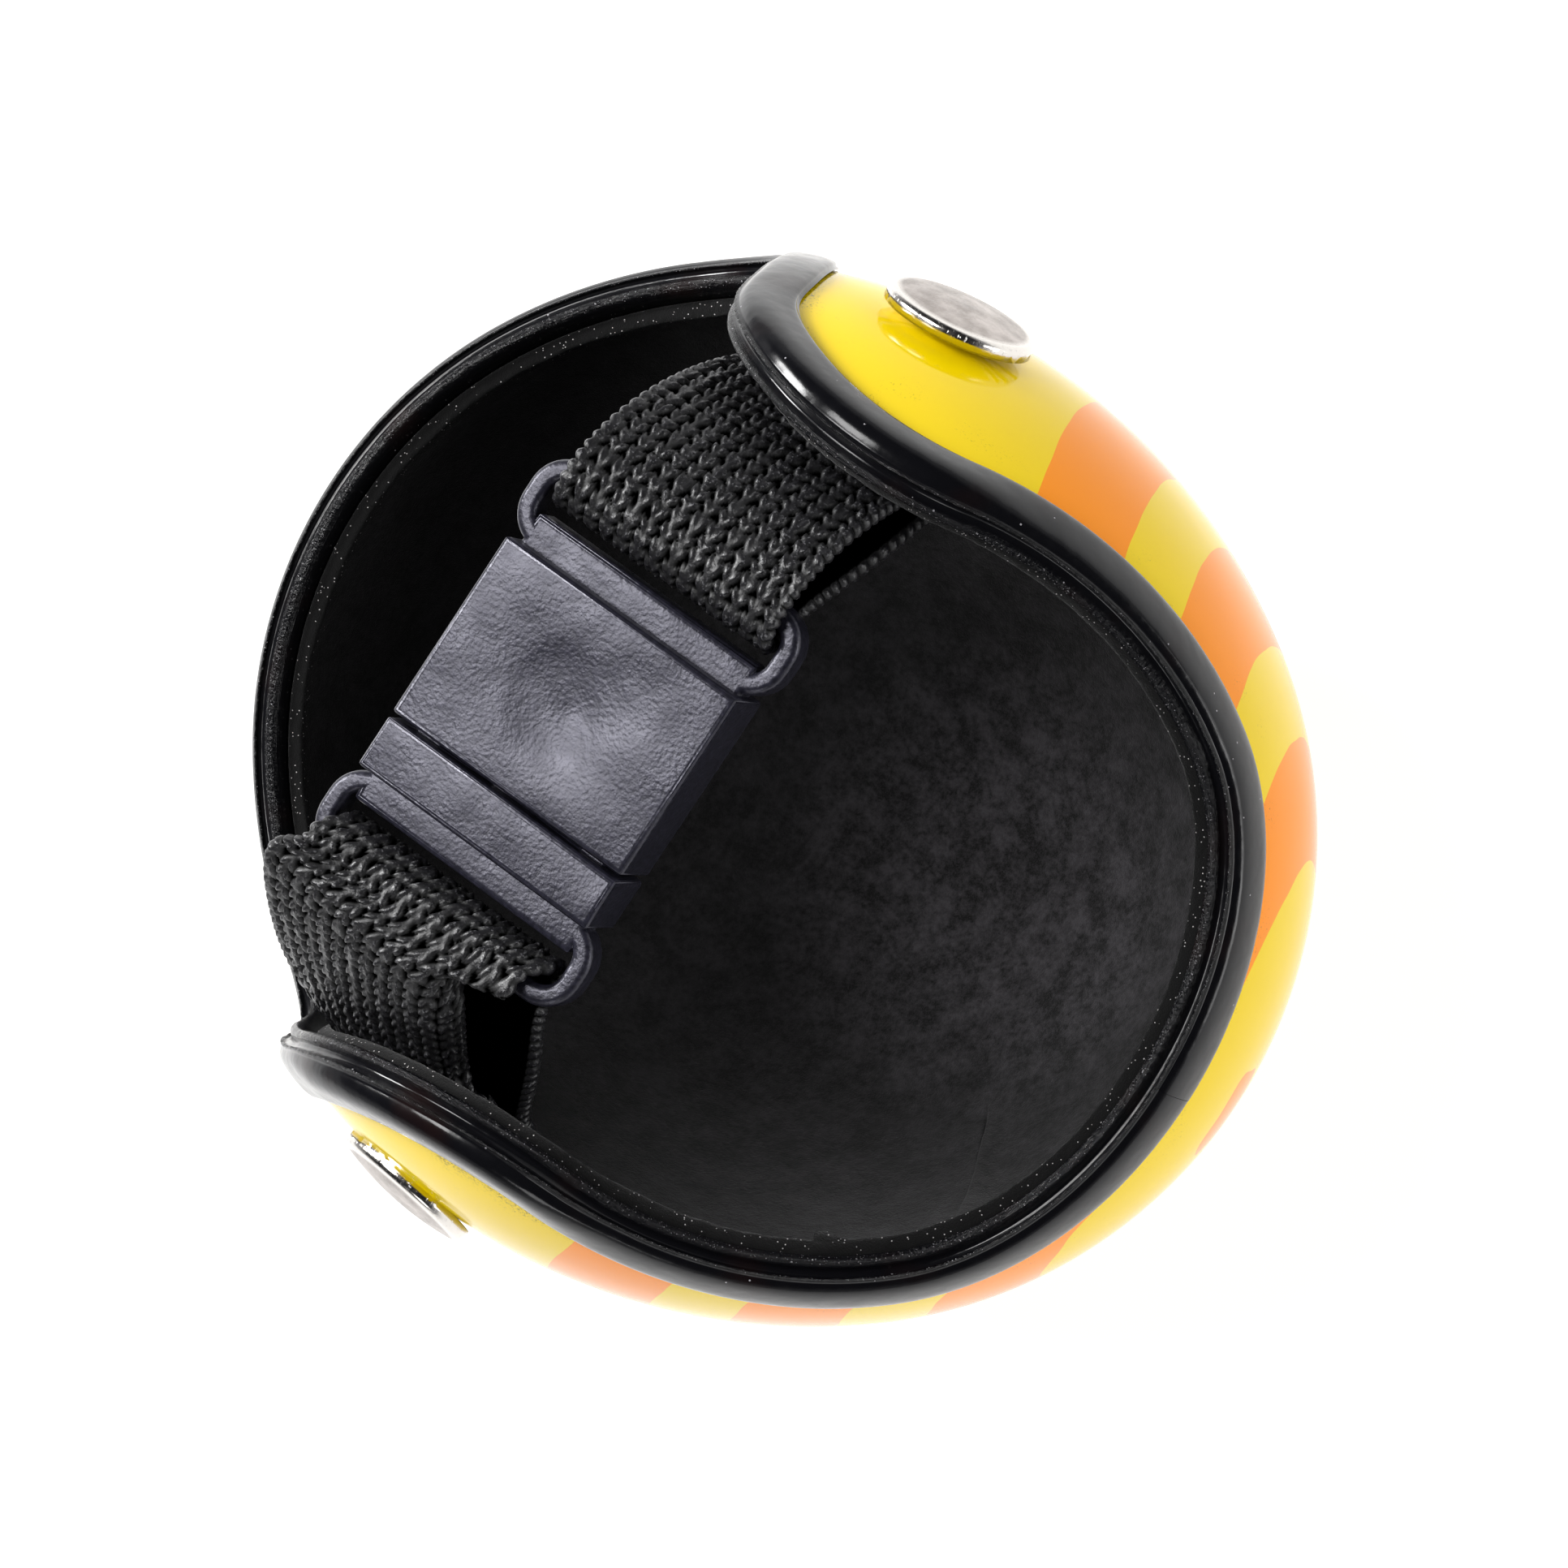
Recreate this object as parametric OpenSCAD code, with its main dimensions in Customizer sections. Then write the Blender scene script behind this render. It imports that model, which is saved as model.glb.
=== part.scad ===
// Small crash helmet for a pet bird, lying on its crown with the opening up.
// +Z points out of the opening, +X to the nape, +Y to the left ear.
// The origin is the point of the crown that the helmet rests on. Millimetres.

/* [Shell] */
// Length of the shell from brow to nape, outside
shell_len = 67; // [64:0.5:76]
// Width of the shell from ear to ear, outside
shell_w = 60.4; // [54:0.2:62]
// Wall of the moulded shell
shell_t = 1.1; // [1:0.1:1.8]

/* [Rim] */
// Height of the shell's edge at the nape
nape_z = 37.2; // [33:0.2:40]
// Height of the shell's edge along the brow
brow_z = 33.6; // [30:0.2:36]
// Height of the tips of the ear lobes
ear_z = 55.6; // [50:0.2:58]
// Distance of the lobes behind the middle of the shell
ear_x = 3.6; // [1:0.2:5]
// Radius of the round end of a lobe
ear_r = 12.4; // [11:0.2:15]
// Slope of the edge from the nape up to the lobe, in degrees
nape_slope = 40; // [34:1:46]
// Slope of the edge from the lobe down to the brow, in degrees
brow_slope = 59; // [50:1:66]
// Rise of the brow edge towards its middle, in degrees
brow_rise = 16; // [8:1:20]
// Distance of the start of that rise from the middle of the shell
brow_rise_x = 26; // [24:0.5:28]

/* [Edging] */
// Length of the edging's legs, from the shell's edge
leg_len = 1.9; // [1.6:0.1:2.8]
// Wall of the edging's legs
leg_t = 0.45; // [0.4:0.05:0.8]
// Wall of the edging's round back
back_t = 0.7; // [0.6:0.1:1.1]
// Space over the shell's edge inside the edging
edge_room = 1.1; // [1:0.1:1.4]
// Gap where the two ends of the edging meet at the nape
butt_gap = 0.12; // [0.08:0.02:0.3]

/* [Liner] */
// Thickness of the felt that lines the helmet
felt_t = 1.0; // [0.6:0.1:1.4]
// How far the felt reaches past the shell's edge
felt_rise = 0.5; // [0.2:0.1:0.8]
// Direction of the dart from the crown, in degrees from the nape to the right ear
dart_turn = 43; // [36:1:50]
// Distance from the crown's middle at which the dart ends
dart_r = 16.5; // [14:0.5:22]
// Width of the dart's cut
dart_w = 0.3; // [0.2:0.1:0.5]

/* [Rivets] */
// Height of the rivets
rivet_z = 42.4; // [40:0.2:44]
// Distance of the left rivet behind the middle of the shell
rivet_x_left = 0.4; // [-2:0.2:2]
// Distance of the right rivet behind the middle of the shell
rivet_x_right = -1.6; // [-2:0.2:2]
// Diameter of a rivet's cap
cap_d = 9; // [8:0.2:10.4]
// Height of the cap's underside over the shell
cap_off = 0.4; // [0:0.1:0.6]
// Thickness of the cap at its middle
cap_h = 1.35; // [1.2:0.05:1.8]
// Diameter of the flange inside the helmet
flange_d = 8.4; // [7.6:0.2:9.4]
// Thickness of that flange
flange_t = 0.5; // [0.4:0.05:0.8]
// Outer diameter of the rivet's tube
tube_d = 3.2; // [2.8:0.1:3.6]
// Bore of the rivet's tube
tube_bore = 2; // [1.6:0.1:2.2]

/* [Strap] */
// Width of the elastic
strap_w = 15; // [13:0.5:16]
// Thickness of the elastic
strap_t = 1.1; // [0.8:0.1:1.3]
// Length of strap below the rivet
strap_tail = 5.5; // [5:0.5:7]

/* [Buckle] */
// Place of the buckle's middle
buckle_at = [-0.05, -0.3, 57.3];
// Turn of the buckle about the vertical, in degrees
buckle_yaw = 3; // [-5:1:5]
// Lean of the buckle towards the nape, in degrees
buckle_lean = 12; // [0:1:16]
// Width of the socket and of the plug's collar
body_w = 16; // [15:0.2:17]
// Thickness of the socket and of the collar
body_h = 5; // [4.6:0.1:6]
// Length of the socket's body
socket_len = 11.6; // [10.8:0.2:13]
// Length of the plug's collar
collar_len = 3.25; // [2.5:0.25:4]
// Gap between socket and collar when closed
close_gap = 0.25; // [0.15:0.05:0.4]
// Width of the bars round a strap slot
bar_w = 1.2; // [1:0.1:1.5]
// Width of the bar between a slot and the body
inner_bar = 1.9; // [1.2:0.1:2.2]
// Opening of a strap slot along the buckle
slot_len = 2.3; // [2.1:0.1:2.8]
// Thickness of the bars
bar_h = 2.2; // [1.8:0.1:2.4]
// Length of the plug's prongs
prong_len = 8.2; // [7:0.2:8.6]
// Width of a prong
prong_w = 1.9; // [1.5:0.1:2.3]
// Thickness of a prong
prong_h = 2.2; // [1.8:0.1:2.6]
// Wall on each side of the socket's pocket
pocket_wall = 1.05; // [0.9:0.05:1.3]

/* [Hidden] */
$fn = 96;

// Clearances: between glued layers, round a pin, between prong and pocket
lay = 0.1;
pin_clear = 0.1;
slide_clear = 0.3;
// Clearance of a rivet's pin in its tube, and from the tube to the cap
pin_fit = 0.05;

// The shell is an oval turned about the ear-to-ear axis: round seen from the side, and in
// plan two arcs, side_r over the ears and band_r round the middle, that meet in a tangent.
half_len = shell_len / 2;
half_w = shell_w / 2;
side_r = 0.985 * half_len * half_len / half_w;
side_c = side_r - half_w;
band_r = (side_r * side_r - side_c * side_c - half_len * half_len) / (2 * (side_r - half_len));
band_c = half_len - band_r;
meet_angle = atan2(side_c, band_c);
mid_z = half_len;

function unit(v) = v / norm(v);
function lerp(a, b, t) = a + (b - a) * t;

// Normal and nearest point of the outer surface for a point p
function surf_normal(p) =
    let (x = p[0], z = p[2] - mid_z, rho = norm([x, z]), y = abs(p[1]), s = p[1] < 0 ? -1 : 1,
         over_ear = atan2(y, rho - band_c) > meet_angle || rho < 0.001,
         c = over_ear ? [0, -side_c] : [band_c, 0],
         n = unit([rho, y] - c))
    [n[0] * x / max(rho, 0.001), s * n[1], n[0] * z / max(rho, 0.001)];
function surf_point(p) =
    let (x = p[0], z = p[2] - mid_z, rho = norm([x, z]), y = abs(p[1]), s = p[1] < 0 ? -1 : 1,
         over_ear = atan2(y, rho - band_c) > meet_angle || rho < 0.001,
         c = over_ear ? [0, -side_c] : [band_c, 0],
         q = c + unit([rho, y] - c) * (over_ear ? side_r : band_r))
    [q[0] * x / max(rho, 0.001), s * q[1], q[0] * z / max(rho, 0.001) + mid_z];
// A point h above the outer surface, nearest to p
function on_layer(p, h) = surf_point(p) + surf_normal(p) * h;
// Half the width of the outer surface at x, z
function surf_y(x, z) =
    let (rho = min(norm([x, z - mid_z]), half_len),
         band = band_r * band_r - pow(rho - band_c, 2), y_band = sqrt(max(band, 0)))
    atan2(y_band, rho - band_c) > meet_angle ? sqrt(side_r * side_r - rho * rho) - side_c : y_band;

// Rim outline seen from the side: nape, flank, round lobe, flank, brow
nape_fillet = 12;
brow_fillet = 8;
rise_fillet = 25;
arc_step = 4;
function arc_pts(c, r, a0, a1) =
    let (n = max(2, ceil(abs(a1 - a0) / arc_step)))
    [for (i = [0:n]) c + r * [cos(lerp(a0, a1, i / n)), sin(lerp(a0, a1, i / n))]];
function near_turn(a0, a1) = a1 - a0 > 180 ? a1 - 360 : a1 - a0 < -180 ? a1 + 360 : a1;
function fillet_pts(a, b, c, r) =
    let (u = unit(a - b), v = unit(c - b), half = acos(u * v) / 2,
         ctr = b + unit(u + v) * r / sin(half),
         p = b + u * r / tan(half) - ctr, q = b + v * r / tan(half) - ctr,
         a0 = atan2(p[1], p[0]))
    arc_pts(ctr, r, a0, near_turn(a0, atan2(q[1], q[0])));
// The same outline moved outwards by g
function rim_line(g) =
    let (far = half_len + 10, ctr = [ear_x, ear_z - ear_r], r = ear_r + g,
         t1 = 90 - nape_slope, t2 = 90 + brow_slope,
         p1 = ctr + r * [cos(t1), sin(t1)], p2 = ctr + r * [cos(t2), sin(t2)],
         nape = [p1[0] + (p1[1] - nape_z - g) / tan(nape_slope), nape_z + g],
         brow = [p2[0] - (p2[1] - brow_z - g) / tan(brow_slope), brow_z + g],
         rise = [-brow_rise_x, brow_z + g],
         end = [-far, brow_z + g + (far - brow_rise_x) * tan(brow_rise)])
    concat([[far, nape_z + g]], fillet_pts([far, nape_z + g], nape, p1, nape_fillet + g),
           arc_pts(ctr, r, t1, t2), fillet_pts(p2, brow, rise, brow_fillet - g),
           fillet_pts(brow, rise, end, rise_fillet - g), [end]);

// The rim in space: the outline laid on the outer surface, in even steps
rim = rim_line(0);
function rim_z(x) = lookup(x, rim);
function past_shell(x) = norm([x, rim_z(x) - mid_z]) - half_len;
function rim_end(lo, hi, n) =
    let (m = (lo + hi) / 2) n == 0 ? m : past_shell(m) > 0 ? rim_end(lo, m, n - 1) : rim_end(m, hi, n - 1);
nape_x = rim_end(half_len * 0.8, half_len + 1, 30);
brow_x = rim_end(-half_len * 0.8, -half_len - 1, 30);
fine = 240;
rim_fine = [for (i = [0:fine])
    let (x = (nape_x + brow_x) / 2 + (nape_x - brow_x) / 2 * cos(180 * i / fine), z = rim_z(x))
    [x, i == 0 || i == fine ? 0 : surf_y(x, z), z]];
rim_run = [for (i = 0, s = 0; i <= fine;
                s = s + norm(rim_fine[min(i + 1, fine)] - rim_fine[i]), i = i + 1) [s, i]];
half_run = rim_run[fine][0];
function rim_at(s) =
    let (t = min(abs(s), half_run), f = lookup(t, rim_run), i = min(floor(f), fine - 1),
         p = lerp(rim_fine[i], rim_fine[i + 1], f - i))
    [p[0], s < 0 ? -p[1] : p[1], p[2]];
// Positions run from the nape over the left ear to the brow and back over the right ear
function rim_place(s) = s <= half_run ? rim_at(s) : rim_at(s - 2 * half_run);

// Edging section: u runs out of the rim from the shell's edge, h up from the outer surface
chan_out = lay;
chan_in = -shell_t - lay;
edge_out = chan_out + leg_t;
edge_in = chan_in - leg_t;
back_u = edge_room + back_t;
edging_section = [
    [-leg_len, chan_out], [-leg_len, edge_out - 0.3], [-leg_len + 0.5, edge_out],
    [edge_room - 0.5, edge_out + 0.05], [edge_room, edge_out], [edge_room + 0.35, edge_out - 0.4],
    [edge_room + 0.3, edge_out - 0.75], [back_u - 0.05, edge_out - 1.15], [back_u, edge_out - 1.6],
    [back_u - 0.3, edge_in + 0.35], [back_u - 0.9, edge_in], [-leg_len + 0.5, edge_in],
    [-leg_len, edge_in + 0.3], [-leg_len, chan_in], [edge_room, chan_in], [edge_room, chan_out]];
edging_rings = 120;

// Closed skin over a list of rings, each with the same number of points. The two ends of a
// ribbon are closed in strips across its thickness.
module skin(rings, ribbon = false) {
    n = len(rings[0]);
    m = len(rings);
    quads = [for (i = [0:m - 2], j = [0:n - 1]) [i * n + j, i * n + (j + 1) % n,
             (i + 1) * n + (j + 1) % n, (i + 1) * n + j]];
    sides = [for (q = quads, k = [0, 1]) k == 0 ? [q[0], q[1], q[2]] : [q[0], q[2], q[3]]];
    end = ribbon ? [for (j = [0:n / 2 - 2]) [j, j + 1, n - 2 - j, n - 1 - j]] : [[for (j = [0:n - 1]) j]];
    ends = concat([for (e = end) reversed(e)], [for (e = end) [for (i = e) (m - 1) * n + i]]);
    polyhedron(points = [for (r = rings, p = r) p], faces = concat(sides, ends), convexity = 8);
}

// Grid of the dome: columns run from the crown to the rim, evenly spaced along the rim
columns = 72;
rows = 13;
rim_band = leg_len + 0.3;
crown_flat = 4.5;
crown_angle = asin(crown_flat / half_len);
middle = [0, 0, mid_z];
grid = [for (i = [0:columns - 1])
    let (s = (i + 0.5) * 2 * half_run / columns, p = rim_place(s),
         run = unit(rim_place(s + 0.2) - rim_place(s - 0.2)), out = unit(cross(surf_normal(p), run)),
         v = surf_point(p - rim_band * out) - middle)
    [p, out, unit([v[0], v[1], 0]), acos(-v[2] / norm(v))]];
// Row of grid points g past the rim, at layer height h
function rim_row(g, h) = [for (c = grid) on_layer(c[0] + g * c[1], h)];
// Rows from the crown, which is a small flat, up to the start of the rim's band
function dome_row(f, h) =
    [for (c = grid) let (a = lerp(crown_angle, c[3], f))
        on_layer(middle + half_len * (c[2] * sin(a) - [0, 0, cos(a)]), h)];
function dome_rows(h) =
    concat([[for (c = grid) c[2] * crown_flat - [0, 0, h]]], [for (k = [1:rows]) dome_row(k / rows, h)]);
function reversed(v) = [for (i = [len(v) - 1:-1:0]) v[i]];

// Layer heights from the outer surface, inwards
felt_out = edge_in - lay;
felt_in = felt_out - felt_t;
felt_back = -shell_t - lay;
// Gap between the felt and the elastic at its middle, and how much more it has at its edges
strap_gap = 0.3;
edge_lift = 0.55;
strap_h = [felt_in - strap_gap - strap_t / 2, felt_in - strap_gap - lay - 1.5 * strap_t];
camber = pow(strap_w / 2, 2) / (2 * (side_r + felt_in)) + edge_lift;
flange_h = strap_h[1] - strap_t / 2 - lay - camber * pow(flange_d / strap_w, 2);

// The rivets stand square to the outer surface. Children are drawn with +Z out of the helmet.
rivet_tilt = asin((rivet_z - mid_z) / side_r);
function rivet_x(side) = side > 0 ? rivet_x_left : rivet_x_right;
function rivet_turn(side) = asin(-rivet_x(side) / (side_r * cos(rivet_tilt)));
module at_rivet(side) {
    mirror([0, side < 0 ? 1 : 0, 0]) translate([0, -side_c, mid_z]) rotate([0, 0, rivet_turn(side)])
        rotate([rivet_tilt, 0, 0]) translate([0, side_r, 0]) rotate([-90, 0, 0]) children();
}
module rivet_hole(d) {
    for (side = [1, -1]) at_rivet(side) translate([0, 0, flange_h - 1]) cylinder(d = d, h = 12);
}

module shell() {
    rings = concat(dome_rows(0), [rim_row(0, 0), rim_row(0, -shell_t)], reversed(dome_rows(-shell_t)));
    color("gold") difference() {
        skin(rings);
        rivet_hole(tube_d + 2 * pin_clear);
    }
}

module rim_edging() {
    span = 2 * half_run - butt_gap;
    step = span / (edging_rings - 1);
    rings = [for (i = [0:edging_rings - 1])
        let (s = butt_gap / 2 + i * step, p = rim_place(s),
             t = unit(rim_place(s + 0.2) - rim_place(s - 0.2)), n = surf_normal(p),
             b = unit(cross(n, t)))
        [for (q = edging_section) on_layer(p + q[0] * b, q[1])]];
    color([0.05, 0.05, 0.06]) skin(rings);
}

module felt_liner() {
    rings = concat(dome_rows(felt_back), [dome_row(1, felt_out), rim_row(felt_rise, felt_out)],
                   [rim_row(felt_rise, felt_in)], reversed(dome_rows(felt_in)));
    color([0.13, 0.13, 0.14]) difference() {
        skin(rings);
        rivet_hole(tube_d + 2 * pin_clear);
        rotate([0, 0, -dart_turn]) translate([dart_r, -dart_w / 2, 0])
            cube([half_len, dart_w, ear_z]);
    }
}

module rivet_cap(side) {
    edge_r = 0.4;
    rim_h = 0.5;
    r = cap_d / 2;
    dome_h = cap_h - rim_h - edge_r;
    dome_r = (pow(r - edge_r, 2) + dome_h * dome_h) / (2 * dome_h);
    color([0.78, 0.77, 0.75]) at_rivet(side) {
        translate([0, 0, cap_off]) rotate_extrude() {
            square([r - edge_r, rim_h + edge_r]);
            square([r, rim_h]);
            translate([r - edge_r, rim_h]) circle(edge_r);
            intersection() {
                translate([0, cap_h - dome_r]) circle(dome_r);
                translate([0, rim_h]) square([r - edge_r, cap_h]);
            }
        }
        translate([0, 0, flange_h + 0.2]) cylinder(d = tube_bore - 2 * pin_fit, h = cap_off + 0.1 - flange_h);
    }
}

module rivet_base(side) {
    color([0.7, 0.7, 0.68]) at_rivet(side) difference() {
        union() {
            translate([0, 0, flange_h - flange_t]) cylinder(d = flange_d, h = flange_t);
            translate([0, 0, flange_h - pin_fit]) cylinder(d = tube_d, h = cap_off - flange_h);
        }
        translate([0, 0, flange_h]) cylinder(d = tube_bore, h = 10);
    }
}

// Buckle frame of reference: y runs along the buckle to the socket's slot, z out of its face
frame_len = inner_bar + slot_len + bar_w;
buckle_len = 2 * frame_len + socket_len + close_gap + collar_len;
slot_w = strap_w + 0.7;
frame_w = slot_w + 2 * bar_w;
frame_corner = 2.3;
bar_y = buckle_len / 2 - bar_w / 2;
socket_y0 = -buckle_len / 2 + frame_len + collar_len + close_gap;
module at_buckle() {
    translate(buckle_at) rotate([0, 0, -buckle_yaw]) rotate([0, buckle_lean, 0]) children();
}
function from_buckle(p) =
    let (x = p[0] * cos(buckle_lean) + p[2] * sin(buckle_lean),
         z = p[2] * cos(buckle_lean) - p[0] * sin(buckle_lean))
    buckle_at + [x * cos(buckle_yaw) + p[1] * sin(buckle_yaw),
                 p[1] * cos(buckle_yaw) - x * sin(buckle_yaw), z];
function along_buckle(p) = from_buckle(p) - buckle_at;

// The elastic: held on the felt at the rivet, free up to the slot, round the bar
strap_cols = 4;
loop_r = bar_h / 2 + 0.2 + strap_t / 2;
function strap_section(centre, wide, thick, bow) =
    let (cols = [for (j = [0:strap_cols]) 2 * j / strap_cols - 1])
    concat([for (c = cols) centre + wide * c * strap_w / 2 + thick * (strap_t / 2 + bow * c * c)],
           [for (j = [strap_cols:-1:0]) centre + wide * cols[j] * strap_w / 2
               + thick * (bow * cols[j] * cols[j] - strap_t / 2)]);
function rivet_point(side) =
    surf_point([rivet_x(side), side * surf_y(rivet_x(side), rivet_z), rivet_z]);
// Section of the end that lies on the felt, t up from the rivet, at layer height h
function pad_section(side, t, h) =
    let (p = rivet_point(side), n = surf_normal(p), wide = unit([1, 0, 0] - n[0] * n),
         up = cross(wide, n) * side, q = surf_point(p + t * up))
    strap_section(q + surf_normal(q) * h, wide, -surf_normal(q), camber);
function pad_centre(side, t, h) =
    let (p = rivet_point(side), n = surf_normal(p), wide = unit([1, 0, 0] - n[0] * n))
    on_layer(p + t * cross(wide, n) * side, h);
function bezier(a, b, c, d, t) =
    a * pow(1 - t, 3) + 3 * b * t * pow(1 - t, 2) + 3 * c * t * t * (1 - t) + d * pow(t, 3);
// Free span from the pad to the bar: over the bar for up = 1, under it for up = -1.
// The lower layers sag, and the right strap's upper layer bulges out of the opening.
span_steps = 9;
sag = [0, 0, -1.8];
right_bulge = [-0.9, 1.8, 2.4];
function slack(side, up) = up < 0 ? sag : side < 0 ? right_bulge : [0, 0, 0];
// Share of the slack at t: flat at both ends and full at t = 0.6
function slack_share(t) = pow(t / 0.6, 3) * pow((1 - t) / 0.4, 2);
// Top of the pad above the rivet, and straight lengths at the pad and at the bar
pad_over = 8;
pad_under = 4;
lead_over = 3.8;
lead_under = 3;
run_over = 5;
run_under = 4;
function pad_top(up) = up > 0 ? pad_over : pad_under;
function span_section(side, up, t) =
    let (h = up > 0 ? strap_h[0] : strap_h[1],
         a = pad_centre(side, pad_top(up), h),
         rise = unit(pad_centre(side, pad_top(up) + 0.5, h) - pad_centre(side, pad_top(up) - 0.5, h)),
         d = from_buckle([0, side * bar_y, up * loop_r]),
         out = along_buckle([0, side, 0]),
         b = a + rise * (up > 0 ? lead_over : lead_under),
         c = d + out * (up > 0 ? run_over : run_under),
         centre = bezier(a, b, c, d, t) + slack(side, up) * slack_share(t),
         run = unit(bezier(a, b, c, d, t + 0.01) - bezier(a, b, c, d, t - 0.01)),
         wide0 = unit(lerp([1, 0, 0], along_buckle([1, 0, 0]), t)),
         wide = unit(wide0 - (wide0 * run) * run))
    strap_section(centre, wide, cross(wide, run) * side, camber * (1 - t) * (1 - t));
function loop_section(side, a) =
    strap_section(from_buckle([0, side * (bar_y - loop_r * sin(a)), loop_r * cos(a)]),
                  along_buckle([1, 0, 0]), along_buckle([0, side * sin(a), -cos(a)]), 0);
function turned(section, up) =
    up > 0 ? section : concat([for (j = [0:strap_cols]) section[2 * strap_cols + 1 - j]],
                              [for (j = [strap_cols:-1:0]) section[j]]);
module strap(side) {
    up_part = concat([for (t = [-strap_tail:2:pad_top(1) - 1]) pad_section(side, t, strap_h[0])],
                     [for (i = [0:span_steps]) span_section(side, 1, i / span_steps)]);
    loop_part = [for (a = [18:18:162]) loop_section(side, a)];
    down_part = concat([for (t = [-strap_tail:2:pad_top(-1) - 1]) pad_section(side, t, strap_h[1])],
                       [for (i = [0:span_steps]) span_section(side, -1, i / span_steps)]);
    down_back = [for (ring = reversed(down_part)) turned(ring, -1)];
    rings = concat(up_part, loop_part, down_back);
    color([0.07, 0.07, 0.08]) difference() {
        skin(side > 0 ? rings : reversed(rings), ribbon = true);
        at_rivet(side) translate([0, 0, flange_h - 1]) cylinder(d = tube_d + 6 * pin_clear, h = 12);
    }
}

// Rectangle with round corners, and a block that is round on all its edges
module round_rect(w, l, r) {
    square([w - 2 * r, l], center = true);
    square([w, l - 2 * r], center = true);
    for (x = [-1, 1], y = [-1, 1]) translate([x * (w / 2 - r), y * (l / 2 - r)]) circle(r, $fn = 48);
}
module soft_block(w, l, h, r) {
    intersection() {
        linear_extrude(h, center = true) round_rect(w, l, r);
        rotate([90, 0, 0]) linear_extrude(l, center = true) round_rect(w, h, r);
        rotate([90, 0, 90]) linear_extrude(w, center = true) round_rect(l, h, r);
    }
}

// Slot frame: a bar bent to a ring round the slot, thickened on the side of the body at y = 0
bar_round = 0.45;
module bar_section() { round_rect(bar_w, bar_h, bar_round); }
module slot_frame() {
    mid = frame_w / 2 - bar_w / 2;
    bend = frame_corner - bar_w / 2;
    low = bar_w / 2;
    top = frame_len - bar_w / 2;
    for (s = [-1, 1]) {
        translate([s * mid, (low + top) / 2, 0]) rotate([90, 0, 0])
            linear_extrude(top - low - 2 * bend, center = true) bar_section();
        translate([s * (mid - bend), top - bend, 0]) rotate([0, 0, s > 0 ? 0 : 90])
            rotate_extrude(angle = 90) translate([bend, 0]) bar_section();
        translate([s * (mid - bend), low + bend, 0]) rotate([0, 0, s > 0 ? 270 : 180])
            rotate_extrude(angle = 90) translate([bend, 0]) bar_section();
    }
    translate([0, top, 0]) rotate([90, 0, 90])
        linear_extrude(2 * (mid - bend), center = true) bar_section();
    translate([0, inner_bar / 2 - 0.2, 0])
        soft_block(2 * mid - bend, inner_bar + 0.4, bar_h, bar_round);
}

// Pocket of the socket, with a shallow recess for each prong's hump
pocket_half = body_w / 2 - pocket_wall;
prong_out = pocket_half - slide_clear;
hump = 0.22;
hump_r = 1.1;
hump_y = prong_len - 1.6;
pocket_len = prong_len + 0.5;
dimple_r = 30;
dimple_depth = 0.28;

module buckle_socket() {
    mouth = socket_y0 - close_gap;
    color([0.2, 0.2, 0.22]) at_buckle() difference() {
        union() {
            translate([0, socket_y0 + socket_len / 2, 0]) soft_block(body_w, socket_len, body_h, 0.4);
            translate([0, buckle_len / 2 - frame_len, 0]) slot_frame();
        }
        translate([0, mouth + pocket_len / 2, 0])
            cube([2 * pocket_half, pocket_len, prong_h + 2 * slide_clear], center = true);
        for (s = [-1, 1]) {
            translate([s * (pocket_half - hump_r + hump), mouth + hump_y, 0])
                cylinder(r = hump_r, h = prong_h, center = true, $fn = 48);
            translate([0, socket_y0 + socket_len / 2, s * (body_h / 2 + dimple_r - dimple_depth)])
                sphere(dimple_r);
        }
    }
}

module buckle_plug() {
    root = socket_y0 - close_gap;
    prong_x = prong_out - prong_w / 2;
    tongue_w = 3.2;
    tongue_len = prong_len - 1.4;
    color([0.2, 0.2, 0.22]) at_buckle() {
        translate([0, root - collar_len / 2, 0]) soft_block(body_w, collar_len, body_h, 0.4);
        mirror([0, 1, 0]) translate([0, buckle_len / 2 - frame_len, 0]) slot_frame();
        for (s = [-1, 1]) {
            translate([s * prong_x, root + prong_len / 2 - 0.5, 0])
                soft_block(prong_w, prong_len + 1, prong_h, 0.3);
            translate([s * (prong_out - hump_r + hump), root + hump_y, 0])
                cylinder(r = hump_r, h = prong_h - 0.6, center = true, $fn = 48);
        }
        translate([0, root + tongue_len / 2 - 0.5, 0])
            soft_block(tongue_w, tongue_len + 1, prong_h - 0.6, 0.3);
    }
}

shell();
rim_edging();
felt_liner();
rivet_cap(1);  // rivet_cap_left
rivet_cap(-1);  // rivet_cap_right
rivet_base(1);  // rivet_base_left
rivet_base(-1);  // rivet_base_right
strap(1);  // strap_left
strap(-1);  // strap_right
buckle_socket();
buckle_plug();
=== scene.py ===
"""Looks of the small bird helmet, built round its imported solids. Sizes are in millimetres
until a mesh is made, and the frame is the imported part's: +Z out of the opening, +X to the
nape, +Y to the left ear, the crown on the floor."""

import math

import bpy
import numpy as np
from mathutils import Matrix, Vector, noise


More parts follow.
